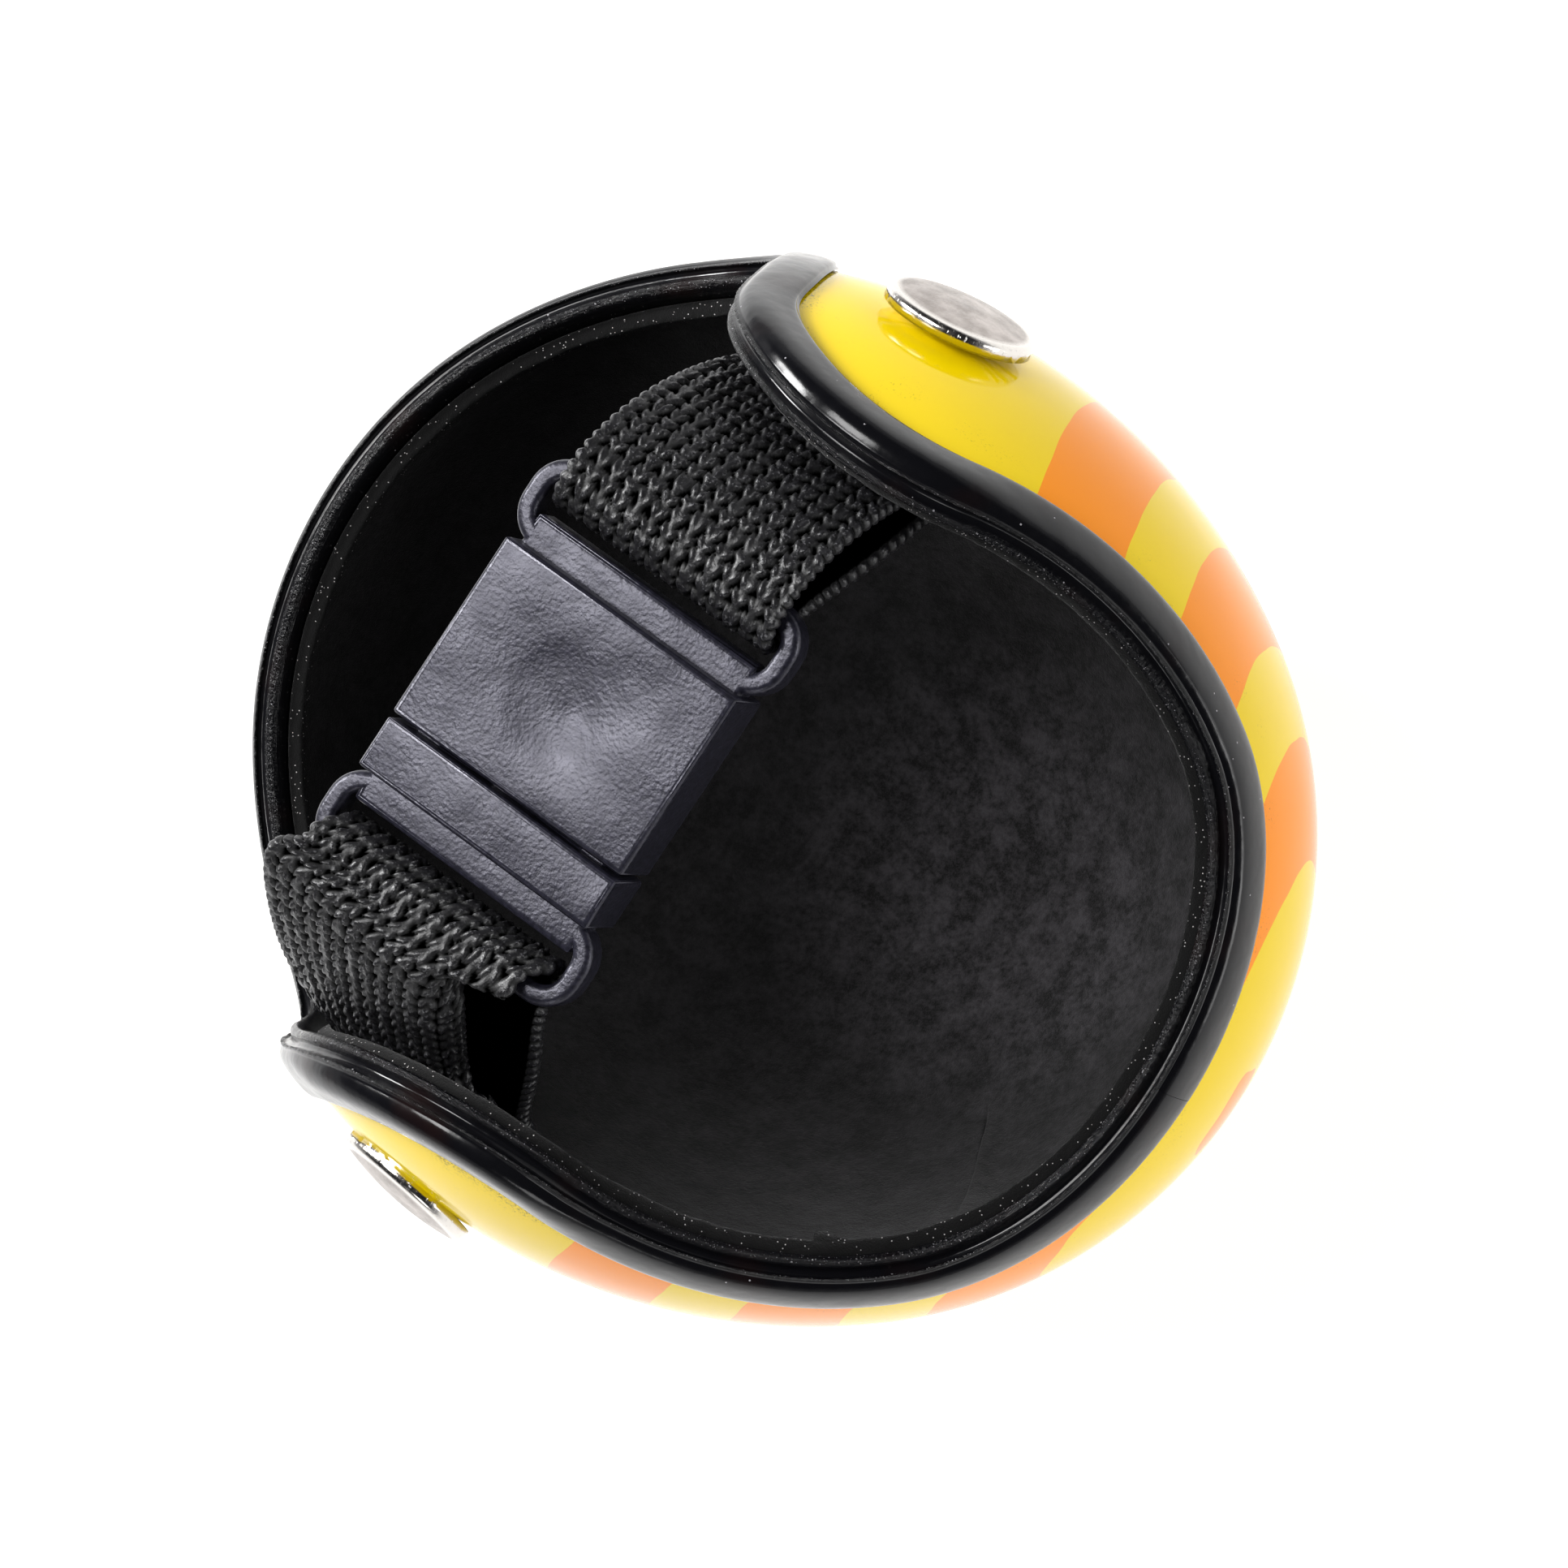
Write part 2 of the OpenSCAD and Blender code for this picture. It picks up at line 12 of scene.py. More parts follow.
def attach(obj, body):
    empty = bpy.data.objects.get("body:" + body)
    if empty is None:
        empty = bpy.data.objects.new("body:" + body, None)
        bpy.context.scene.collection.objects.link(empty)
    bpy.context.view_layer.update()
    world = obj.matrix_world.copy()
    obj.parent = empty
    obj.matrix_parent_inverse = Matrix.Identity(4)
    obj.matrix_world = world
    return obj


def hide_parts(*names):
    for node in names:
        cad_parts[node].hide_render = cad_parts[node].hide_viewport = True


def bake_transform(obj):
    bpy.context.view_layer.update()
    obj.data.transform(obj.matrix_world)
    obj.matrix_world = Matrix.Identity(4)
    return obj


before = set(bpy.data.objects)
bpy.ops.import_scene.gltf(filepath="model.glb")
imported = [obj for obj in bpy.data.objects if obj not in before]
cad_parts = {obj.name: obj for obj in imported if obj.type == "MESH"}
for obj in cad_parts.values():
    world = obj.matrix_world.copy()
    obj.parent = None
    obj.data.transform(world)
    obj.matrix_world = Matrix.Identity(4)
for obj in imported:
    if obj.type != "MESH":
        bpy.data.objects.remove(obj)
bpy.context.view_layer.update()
MM = 0.001

# ---------------------------------------------------------------- sizes shared with the solids
SHELL_LEN, SHELL_W, SHELL_T = 67.0, 60.4, 1.1
NAPE_Z, BROW_Z, EAR_Z, EAR_X, EAR_R = 37.2, 33.6, 55.6, 3.6, 12.4
NAPE_SLOPE, BROW_SLOPE, BROW_RISE, BROW_RISE_X = 40.0, 59.0, 16.0, 26.0
NAPE_FILLET, BROW_FILLET, RISE_FILLET = 12.0, 8.0, 25.0
LEG_LEN, LEG_T, EDGE_ROOM = 1.9, 0.45, 1.1
FELT_T, FELT_RISE, LAY = 1.0, 0.5, 0.1
RIVET_Z, RIVET_X = 42.4, {1: 0.4, -1: -1.6}
CAP_D, FLANGE_D = 9.0, 8.4
STRAP_W, STRAP_T, STRAP_TAIL, STRAP_GAP, EDGE_LIFT = 15.0, 1.1, 5.5, 0.3, 0.55
BUCKLE_AT, BUCKLE_YAW, BUCKLE_LEAN = np.array([-0.05, -0.3, 57.3]), 3.0, 12.0
BAR_W, BAR_H, INNER_BAR, SLOT_LEN = 1.2, 2.2, 1.9, 2.3
SOCKET_LEN, COLLAR_LEN, CLOSE_GAP = 11.6, 3.25, 0.25

HALF_LEN, HALF_W = SHELL_LEN / 2, SHELL_W / 2
SIDE_R = 0.985 * HALF_LEN**2 / HALF_W
SIDE_C = SIDE_R - HALF_W
BAND_R = (SIDE_R**2 - SIDE_C**2 - HALF_LEN**2) / (2 * (SIDE_R - HALF_LEN))
BAND_C = HALF_LEN - BAND_R
MEET = math.atan2(SIDE_C, BAND_C)
MID = np.array([0.0, 0.0, HALF_LEN])
CHAN_IN = -SHELL_T - LAY
EDGE_IN = CHAN_IN - LEG_T
FELT_OUT = EDGE_IN - LAY
FELT_IN = FELT_OUT - FELT_T


def unit(v):
    v = np.asarray(v, float)
    return v / np.maximum(np.linalg.norm(v, axis=-1, keepdims=True), 1e-12)


def lerp(a, b, t):
    return a + (b - a) * t


def smooth(x, lo, hi):
    t = np.clip((x - lo) / (hi - lo), 0, 1)
    return t * t * (3 - 2 * t)


# ---------------------------------------------------------------- the oval and its wavy rim
def oval(p, h=0.0):
    """Points h above the outer surface nearest to p, and the surface's normals there."""
    p = np.asarray(p, float)
    x, y, z = p[..., 0], np.abs(p[..., 1]), p[..., 2] - HALF_LEN
    rho, side = np.hypot(x, z), np.where(p[..., 1] < 0, -1.0, 1.0)
    over_ear = (np.arctan2(y, rho - BAND_C) > MEET) | (rho < 0.001)
    cx, cy = np.where(over_ear, 0.0, BAND_C), np.where(over_ear, -SIDE_C, 0.0)
    r = np.where(over_ear, SIDE_R, BAND_R)
    n = unit(np.stack([rho - cx, y - cy], -1))
    safe = np.maximum(rho, 0.001)
    qx, qy = cx + n[..., 0] * r, cy + n[..., 1] * r
    normal = np.stack([n[..., 0] * x / safe, side * n[..., 1], n[..., 0] * z / safe], -1)
    place = np.stack([qx * x / safe, side * qy, qx * z / safe + HALF_LEN], -1)
    return place + normal * np.asarray(h)[..., None], normal


def oval_y(x, z):
    rho = np.minimum(np.hypot(x, z - HALF_LEN), HALF_LEN)
    y = np.sqrt(np.maximum(BAND_R**2 - (rho - BAND_C) ** 2, 0))
    return np.where(np.arctan2(y, rho - BAND_C) > MEET, np.sqrt(SIDE_R**2 - rho**2) - SIDE_C, y)


def rivet_at(side):
    """Place of a rivet on the outer surface, and its direction out of the helmet."""
    x = RIVET_X[side]
    return oval(np.array([x, side * float(oval_y(x, RIVET_Z)), RIVET_Z]))


def arc(c, r, a0, a1):
    """Points on a circle about c, from a0 to a1 degrees, at most 2 degrees apart."""
    n = max(2, math.ceil(abs(a1 - a0) / 2))
    turn = np.radians(np.linspace(a0, a1, n + 1))
    return [[c[0] + r * math.cos(a), c[1] + r * math.sin(a)] for a in turn]


def fillet(a, b, c, r):
    """The arc of radius r that rounds the corner b between a and c."""
    a, b, c = (np.array(v, float) for v in (a, b, c))
    u, v = unit(a - b), unit(c - b)
    half = math.acos(float(u @ v)) / 2
    ctr = b + unit(u + v) * r / math.sin(half)
    p, q = b + u * r / math.tan(half) - ctr, b + v * r / math.tan(half) - ctr
    a0, a1 = (math.degrees(math.atan2(w[1], w[0])) for w in (p, q))
    a1 += -360 if a1 - a0 > 180 else 360 if a1 - a0 < -180 else 0
    return arc(ctr, r, a0, a1)


def rim_outline():
    """The rim seen from the side, as x and z from the brow to the nape."""
    far, t1, t2 = HALF_LEN + 10, math.radians(90 - NAPE_SLOPE), math.radians(90 + BROW_SLOPE)
    ctr = [EAR_X, EAR_Z - EAR_R]
    p1, p2 = ([ctr[0] + EAR_R * math.cos(t), ctr[1] + EAR_R * math.sin(t)] for t in (t1, t2))
    nape = [p1[0] + (p1[1] - NAPE_Z) / math.tan(math.radians(NAPE_SLOPE)), NAPE_Z]
    brow = [p2[0] - (p2[1] - BROW_Z) / math.tan(math.radians(BROW_SLOPE)), BROW_Z]
    rise = [-BROW_RISE_X, BROW_Z]
    end = [-far, BROW_Z + (far - BROW_RISE_X) * math.tan(math.radians(BROW_RISE))]
    line = [[far, NAPE_Z]] + fillet([far, NAPE_Z], nape, p1, NAPE_FILLET)
    line += arc(ctr, EAR_R, 90 - NAPE_SLOPE, 90 + BROW_SLOPE)
    line += fillet(p2, brow, rise, BROW_FILLET) + fillet(brow, rise, end, RISE_FILLET) + [end]
    return np.array(line)[::-1]


OUTLINE = rim_outline()


def rim_z(x):
    return np.interp(x, OUTLINE[:, 0], OUTLINE[:, 1])


def rim_end(lo, hi):
    """Where the outline leaves the oval's middle line, with lo inside it and hi outside."""
    for _ in range(40):
        m = (lo + hi) / 2
        lo, hi = (lo, m) if math.hypot(m, rim_z(m) - HALF_LEN) > HALF_LEN else (m, hi)
    return (lo + hi) / 2


NAPE_X, BROW_X = rim_end(HALF_LEN * 0.8, HALF_LEN + 1), rim_end(-HALF_LEN * 0.8, -HALF_LEN - 1)
_turn = np.cos(np.linspace(0, math.pi, 4001))
_x = (NAPE_X + BROW_X) / 2 + (NAPE_X - BROW_X) / 2 * _turn
_y = oval_y(_x, rim_z(_x))
_y[0] = _y[-1] = 0
RIM = np.stack([_x, _y, rim_z(_x)], -1)
RUN = np.concatenate([[0], np.cumsum(np.linalg.norm(np.diff(RIM, axis=0), axis=1))])
HALF_RUN = RUN[-1]


def hump(z, foot, top, end):
    """0 up to foot, 1 at top and 0 again from end, with smooth flanks."""
    return smooth(z, foot, top) * (1 - smooth(z, top, end))


def trimmed(x, z, left):
    """How far the hand-trimmed brow flank of a lobe lies from the drawn rim, along X."""
    left_flank = 1.4 * hump(z, 30, 37, 50) - 0.4 * hump(z, 46, 52, 56)
    right_flank = -0.9 * hump(z, 36, 45, 54)
    on_flank = smooth(x, -25, -17) * (1 - smooth(x, -4, 4))
    return np.where(left, left_flank, right_flank) * on_flank


def rim_place(s):
    """Place on the rim, s along it from the nape over the left ear to the brow and on round."""
    s = (np.asarray(s, float) + HALF_RUN) % (2 * HALF_RUN) - HALF_RUN
    x, z = (np.interp(np.abs(s), RUN, RIM[:, k]) for k in (0, 2))
    x = x + trimmed(x, z, s > 0)
    return np.stack([x, np.where(s < 0, -1, 1) * oval_y(x, z), z], -1)


def rim_frame(s):
    """Place, normal and the direction out of the rim at s."""
    p = rim_place(s)
    run = unit(rim_place(s + 0.5) - rim_place(s - 0.5))
    n = oval(p)[1]
    return p, n, unit(np.cross(n, run))


# ---------------------------------------------------------------- mesh helpers
def alone(o):
    """Selects one object and makes it active."""
    bpy.ops.object.select_all(action="DESELECT")
    o.select_set(True)
    bpy.context.view_layer.objects.active = o


def laid_sheet(name, places):
    """A flat grid whose points are laid on places, a rows x columns x 3 array in millimetres."""
    rows, cols = places.shape[:2]
    bpy.ops.object.select_all(action="DESELECT")
    bpy.ops.mesh.primitive_grid_add(x_subdivisions=cols - 1, y_subdivisions=rows - 1, size=1)
    o = bpy.context.object
    o.name = o.data.name = name
    o.data.vertices.foreach_set("co", (places.reshape(-1, 3) * MM).astype(np.float32).ravel())
    o.data.update()
    return o


def finish_mesh(o, fill_ends=False, angle=180.0):
    """Merges edges that lie on each other, fills open ends if asked, turns the faces outwards
    and shades them smooth up to angle degrees."""
    alone(o)
    bpy.ops.object.mode_set(mode="EDIT")
    bpy.ops.mesh.select_all(action="SELECT")
    bpy.ops.mesh.remove_doubles(threshold=2e-7)
    if fill_ends:
        bpy.ops.mesh.select_all(action="DESELECT")
        bpy.ops.mesh.select_non_manifold()
        bpy.ops.mesh.fill_holes(sides=0)
        bpy.ops.mesh.select_all(action="SELECT")
    bpy.ops.mesh.normals_make_consistent(inside=False)
    bpy.ops.object.mode_set(mode="OBJECT")
    bpy.ops.object.shade_smooth_by_angle(angle=math.radians(angle))
    return o


def point_value(o, name, values):
    """Stores one number at each point, for the materials to read."""
    a = o.data.attributes.new(name, "FLOAT", "POINT")
    a.data.foreach_set("value", np.asarray(values, np.float32).ravel())


def rumple(places, scale, seed):
    """Smooth noise from -1 to 1 at places, with features of about scale millimetres."""
    flat = places.reshape(-1, 3) / scale
    shift = Vector((seed * 7.3, seed * 3.1, seed * 5.7))
    return np.array([noise.noise(Vector(p) + shift) for p in flat]).reshape(places.shape[:-1])


# ---------------------------------------------------------------- material helpers
class Paint:
    """A node material under construction."""

    def __init__(self, name):
        self.mat = bpy.data.materials.new(name)
        self.mat.use_nodes = True
        self.tree = self.mat.node_tree
        self.bsdf = self.tree.nodes["Principled BSDF"]

    def node(self, kind, **sockets):
        """A new node: each word sets the setting of that name or, if it has none, the input."""
        n = self.tree.nodes.new("ShaderNode" + kind)
        for key, value in sockets.items():
            if hasattr(n, key):
                setattr(n, key, value)
            else:
                self.put(n.inputs[key.replace("_", " ")], value)
        return n

    def put(self, socket, value):
        """Links value to the socket if it comes from a node, or else writes it there."""
        if isinstance(value, bpy.types.NodeSocket):
            self.tree.links.new(value, socket)
        else:
            socket.default_value = value

    def shader(self, **sockets):
        for key, value in sockets.items():
            self.put(self.bsdf.inputs[key.replace("_", " ")], value)

    def math(self, op, a, b=0.0, c=0.0, clamp=False):
        n = self.node("Math", operation=op, use_clamp=clamp)
        for i, v in enumerate((a, b, c)):
            self.put(n.inputs[i], v)
        return n.outputs[0]

    def mix(self, share, a, b):
        n = self.node("Mix", data_type="RGBA")
        self.put(n.inputs[0], share)
        self.put(n.inputs[6], a)
        self.put(n.inputs[7], b)
        return n.outputs[2]

    def span(self, value, lo, hi, to_lo=0.0, to_hi=1.0):
        n = self.node("MapRange", Value=value, From_Min=lo, From_Max=hi, To_Min=to_lo, To_Max=to_hi)
        return n.outputs[0]

    def place(self, scale=(1000.0, 1000.0, 1000.0), uv=False):
        """Object coordinates in millimetres, or the UV map, each times scale."""
        coord = self.node("TexCoord").outputs["UV" if uv else "Object"]
        return self.stretched(coord, scale)

    def stretched(self, vector, scale, turn=(0.0, 0.0, 0.0)):
        return self.node("Mapping", Vector=vector, Rotation=turn, Scale=scale).outputs[0]

    def vector(self, op, a, b, result="Vector"):
        n = self.node("VectorMath", operation=op)
        self.put(n.inputs[0], a)
        self.put(n.inputs[1], b)
        return n.outputs[result]

    def value_of(self, name):
        """What point_value stored under name."""
        return self.node("Attribute", attribute_name=name).outputs["Fac"]

    def noise(self, vector, scale, detail=2.0, rough=0.5):
        n = self.node("TexNoise", Vector=vector, Scale=scale, Detail=detail, Roughness=rough)
        return n.outputs[0]

    def cells(self, vector, scale, feature="F1"):
        return self.node("TexVoronoi", Vector=vector, Scale=scale, feature=feature).outputs[0]

    def bump(self, height, distance_mm, strength=1.0, under=None):
        n = self.node("Bump", Height=height, Distance=distance_mm * MM, Strength=strength)
        if under is not None:
            self.put(n.inputs["Normal"], under)
        return n.outputs[0]


def rgb(r, g, b):
    """Linear colour of an sRGB one given from 0 to 255."""
    parts = (r / 255, g / 255, b / 255)
    return tuple(c / 12.92 if c <= 0.04045 else ((c + 0.055) / 1.055) ** 2.4 for c in parts) + (1.0,)


# Where the bands change colour, in millimetres along a measure that grows towards the nape:
# x, less a share of the height, plus a share of the squared distance from the middle plane
BAND_LEAN, BAND_CURVE, BAND_SKEW = -0.25, 0.0113, -0.0106
BAND_EDGES = [-34.0, -29.2, -25.5, -20.4, 7.16, 12.55, 16.07, 19.72, 22.26, 24.59, 26.0]
BAND_LO, BAND_HI = -46.0, 34.0
YELLOW, ORANGE = rgb(242, 209, 2), rgb(255, 148, 2)


def shell_plastic():
    """Glossy plastic in two colours, with black rubbings from the edging along the rim."""
    p = Paint("shell_gloss_plastic")
    mm = p.place()
    axes = p.node("SeparateXYZ", Vector=mm).outputs
    measure = p.math("MULTIPLY_ADD", axes["Z"], BAND_LEAN, axes["X"])
    measure = p.math("MULTIPLY_ADD", p.math("MULTIPLY", axes["Y"], axes["Y"]), BAND_CURVE, measure)
    measure = p.math("MULTIPLY_ADD", axes["Y"], BAND_SKEW, measure)
    measure = p.math("MULTIPLY_ADD", p.noise(mm, 0.2, 1.0), 0.25, measure)
    ramp = p.node("ValToRGB", Fac=p.span(measure, BAND_LO, BAND_HI))
    ramp.color_ramp.interpolation = "CONSTANT"
    stops = ramp.color_ramp.elements
    stops.remove(stops[1])
    stops[0].color = YELLOW
    for i, edge in enumerate(BAND_EDGES):
        stops.new((edge - BAND_LO) / (BAND_HI - BAND_LO)).color = (ORANGE, YELLOW)[i % 2]
    near_rim, rubbed = p.value_of("rim_near"), p.value_of("rubbed")
    patch = p.span(p.noise(mm, 0.35, 1.0), 0.55, 0.65)
    patch = p.math("MAXIMUM", patch, rubbed)
    speck = p.math("GREATER_THAN", p.noise(mm, 7.0, 3.0, 0.7), p.span(rubbed, 0.0, 1.0, 0.64, 0.47))
    grime = p.math("MULTIPLY", p.math("MULTIPLY", speck, near_rim), patch, clamp=True)
    colour = p.mix(grime, ramp.outputs[0], (0.02, 0.018, 0.012, 1.0))
    rough = p.span(p.noise(mm, 1.5, 4.0, 0.6), 0.35, 0.75, 0.06, 0.13)
    waves = p.bump(p.noise(mm, 0.12, 1.0), 0.12, 0.25)
    p.shader(Base_Color=colour, Roughness=rough, Normal=waves, IOR=1.22, Specular_IOR_Level=0.33)
    return p.mat


def edging_vinyl(length, around):
    """Black vinyl: U of the map runs along the edging and V round its section."""
    p = Paint("edging_gloss_vinyl")
    mm = p.place()
    ridge = p.value_of("ridge")
    along = p.place((around, length, 1.0), uv=True)
    streaks = p.noise(p.stretched(along, (9.0, 0.25, 1.0)), 1.0, 3.0, 0.65)
    chatter = p.noise(p.stretched(along, (1.2, 3.6, 1.0)), 1.0, 2.0)
    normal = p.bump(p.noise(mm, 0.45, 2.0), 0.16, 0.35)
    normal = p.bump(p.math("MULTIPLY", streaks, ridge), 0.14, 0.9, normal)
    normal = p.bump(p.math("MULTIPLY", chatter, ridge), 0.16, 0.8, normal)
    normal = p.bump(p.noise(mm, 3.2, 3.0, 0.6), 0.012, 0.35, normal)
    dust_and_glints = p.math("LESS_THAN", p.cells(mm, 1.1), 0.06)
    dust_and_glints = p.math("MULTIPLY", dust_and_glints, p.math("GREATER_THAN", p.noise(mm, 0.5, 1.0), 0.52))
    # painted glints: bright specks along the ridges; the other specks are pale dust
    ridge_glints = p.math("GREATER_THAN", p.noise(mm, 9.0, 2.0, 0.6), 0.68)
    dust_and_glints = p.math("MAXIMUM", dust_and_glints, p.math("MULTIPLY", ridge_glints, p.math("GREATER_THAN", ridge, 0.55)))
    warm = p.span(p.noise(mm, 0.22, 1.0), 0.55, 0.75)
    colour = p.mix(warm, (0.0035, 0.0035, 0.0045, 1.0), (0.008, 0.004, 0.004, 1.0))
    colour = p.mix(dust_and_glints, colour, (0.35, 0.34, 0.36, 1.0))
    rough = p.span(p.noise(mm, 1.1, 3.0, 0.6), 0.3, 0.7, 0.13, 0.22)
    rough = p.math("MULTIPLY_ADD", ridge, -0.06, rough)
    p.shader(Base_Color=colour, Roughness=rough, Normal=normal, Specular_IOR_Level=0.31)
    return p.mat


# the spot that the felt's painted pool of light centres on; away from it the felt is painted darker as
# shade
FELT_LIGHT_POOL_AT = (4.5, 0.5, 3.0)


def felt_cloth():
    """Dark felt, mottled by its nap, painted darker away from the crown as shade, painted black as
    shade at the cut lip and slit, and with painted glints where it is cut.
    """
    p = Paint("felt_short_nap")
    mm = p.place()
    blotch = p.noise(mm, 0.5, 5.0, 0.65)
    tufts = p.noise(mm, 2.4, 3.0, 0.6)
    fibre = p.noise(mm, 9.0, 3.0, 0.7)
    tone = p.math("ADD", p.math("MULTIPLY", blotch, 0.6), p.math("MULTIPLY", tufts, 0.4))
    colour = p.mix(p.span(tone, 0.41, 0.62), (0.005, 0.0048, 0.0052, 1.0), (0.043, 0.04, 0.0442, 1.0))
    colour = p.mix(p.span(fibre, 0.45, 0.8, 0.0, 0.5), colour, (0.055, 0.052, 0.054, 1.0))
    # painted shade: the felt is painted darker away from a spot over the crown, standing for the shade
    # that the rim and the buckle cast on the walls
    from_crown = p.vector("DISTANCE", mm, FELT_LIGHT_POOL_AT, "Value")
    painted_shade = p.span(from_crown, 7.0, 17.0, 0.0, 0.72)
    colour = p.mix(painted_shade, colour, (0.001, 0.001, 0.001, 1.0))
    cut_shade_glint = p.value_of("cut_shade_and_glint")
    # painted shade: black in the gap at the cut lip and down the dart's slit
    colour = p.mix(p.math("MULTIPLY", cut_shade_glint, 0.9), colour, (0.003, 0.003, 0.003, 1.0))
    # painted glints: bright specks on the cut felt
    painted_glint = p.math("MULTIPLY", p.math("LESS_THAN", p.cells(mm, 3.4), 0.13), cut_shade_glint)
    colour = p.mix(painted_glint, colour, (0.5, 0.48, 0.48, 1.0))
    normal = p.bump(fibre, 0.09, 0.8)
    normal = p.bump(tone, 0.3, 0.4, normal)
    rough = p.span(painted_glint, 0.0, 1.0, 0.95, 0.35)
    p.shader(Base_Color=colour, Roughness=rough, Normal=normal, Sheen_Weight=0.1, Sheen_Roughness=0.45,
             Specular_IOR_Level=0.2)
    return p.mat


def elastic_knit():
    """Black knitted elastic: the stitches are in the mesh, the filaments are in the bump, with painted
    shade down in the holes and painted glints on the yarn tops.
    """
    p = Paint("elastic_black_knit")
    mm = p.place()
    strand = p.noise(mm, 5.5, 2.0, 0.6)
    fuzz = p.noise(mm, 15.0, 2.0, 0.7)
    high = p.value_of("stitch")
    # painted shade: the colour goes black down in the holes between the stitches
    colour = p.mix(p.span(high, 0.3, 0.9), (0.0, 0.0, 0.0, 1.0), (0.012, 0.0117, 0.0134, 1.0))
    colour = p.mix(p.span(fuzz, 0.68, 0.8, 0.0, 0.6), colour, (0.05, 0.048, 0.05, 1.0))
    # painted glints: bright specks on the tops of the yarns
    painted_glint = p.math("MULTIPLY", p.math("GREATER_THAN", strand, 0.62), p.span(high, 0.45, 0.8))
    colour = p.mix(p.math("MULTIPLY", painted_glint, 0.5), colour, (0.16, 0.16, 0.17, 1.0))
    normal = p.bump(strand, 0.05, 0.7)
    rough = p.span(high, 0.15, 0.75, 0.9, 0.34)
    # painted shade: a black metal reflects nothing, which keeps the holes between the stitches dark
    holes = p.span(high, 0.12, 0.45, 1.0, 0.0)
    p.shader(Base_Color=colour, Metallic=holes, Roughness=rough, Normal=normal, Specular_IOR_Level=0.48)
    return p.mat


def buckle_plastic():
    """Moulded acetal with a fine leather grain."""
    p = Paint("buckle_grained_plastic")
    mm = p.place()
    pebbles = p.cells(mm, 3.6, "SMOOTH_F1")
    grain = p.math("MULTIPLY_ADD", pebbles, -0.7, p.noise(mm, 4.6, 1.0, 0.5))
    dents = p.noise(mm, 0.26, 1.0)
    colour = p.mix(p.span(grain, 0.0, 0.4), (0.006, 0.006, 0.010, 1.0), (0.014, 0.0135, 0.022, 1.0))
    rough = p.span(p.noise(mm, 0.6, 2.0), 0.3, 0.7, 0.31, 0.40)
    normal = p.bump(grain, 0.024, 0.8, p.bump(dents, 1.0, 0.15))
    p.shader(Base_Color=colour, Roughness=rough, Normal=normal, Specular_IOR_Level=0.52,
             Specular_Tint=(0.88, 0.87, 1.0, 1.0))
    return p.mat


def nickel(name, centre, axis, radius):
    """Plated steel, brushed on its flat and smoother at the rim, where a painted highlight colours it
    lighter, round an axis.
    """
    p = Paint(name)
    mm = p.place()
    across = p.vector("CROSS_PRODUCT", p.vector("SUBTRACT", mm, tuple(centre)), tuple(axis))
    from_axis = p.vector("DISTANCE", across, (0.0, 0.0, 0.0), "Value")
    rim = p.span(from_axis, radius - 0.75, radius - 0.35)
    brushed = p.noise(p.stretched(mm, (9.0, 0.5, 5.0), (0.2, 0.5, 0.9)), 1.0, 3.0, 0.6)
    scratch = p.noise(p.stretched(mm, (14.0, 0.35, 14.0), (0.9, 0.1, 0.3)), 1.0, 1.0)
    scratch = p.span(scratch, 0.66, 0.74)
    blotch = p.noise(mm, 0.6, 3.0, 0.6)
    colour = p.mix(p.span(blotch, 0.35, 0.7), (0.27, 0.24, 0.22, 1.0), (0.49, 0.445, 0.42, 1.0))
    # painted highlight: the rim is coloured lighter, and it is also made smoother below
    colour = p.mix(rim, colour, (0.66, 0.63, 0.59, 1.0))
    rough = p.math("ADD", p.span(brushed, 0.3, 0.7, 0.3, 0.46), p.math("MULTIPLY", rim, -0.2))
    normal = p.bump(brushed, 0.012, 0.5)
    normal = p.bump(scratch, -0.02, 0.5, normal)
    p.shader(Base_Color=colour, Metallic=1.0, Roughness=rough, Normal=normal)
    return p.mat


# ---------------------------------------------------------------- shell
RIM_ROWS = 8


def dome(columns, rows, past_rim, extra=()):
    """Grid places over the dome: from the crown's pole to past_rim beyond the shell's edge, the
    last RIM_ROWS of them beside the rim. Returns the columns' distances along the rim, and
    places(h), which gives the places and normals of the layer at height h."""
    even = np.linspace(0, 2 * HALF_RUN, columns, endpoint=False)
    s = np.unique(np.append(even, np.asarray(extra, float) % (2 * HALF_RUN)))
    s = np.append(s, s[0] + 2 * HALF_RUN)
    p, _, out = rim_frame(s)
    band = LEG_LEN + 0.3
    foot = oval(p - band * out)[0] - MID
    plan = unit(np.stack([foot[:, 0], foot[:, 1], 0 * foot[:, 0]], -1))
    angle = np.arccos(-foot[:, 2] / np.linalg.norm(foot, axis=1))

    def places(h):
        a = np.linspace(0, 1, rows)[:, None] * angle[None]
        direction = plan[None] * np.sin(a)[..., None] - np.array([0, 0, 1.0]) * np.cos(a)[..., None]
        steps = np.linspace(-band, past_rim, RIM_ROWS + 1)[1:]
        beside_rim = p[None] + steps[:, None, None] * out[None]
        return oval(np.concatenate([MID + HALF_LEN * direction, beside_rim]), h)

    return s, places


RUB_ROWS = 8


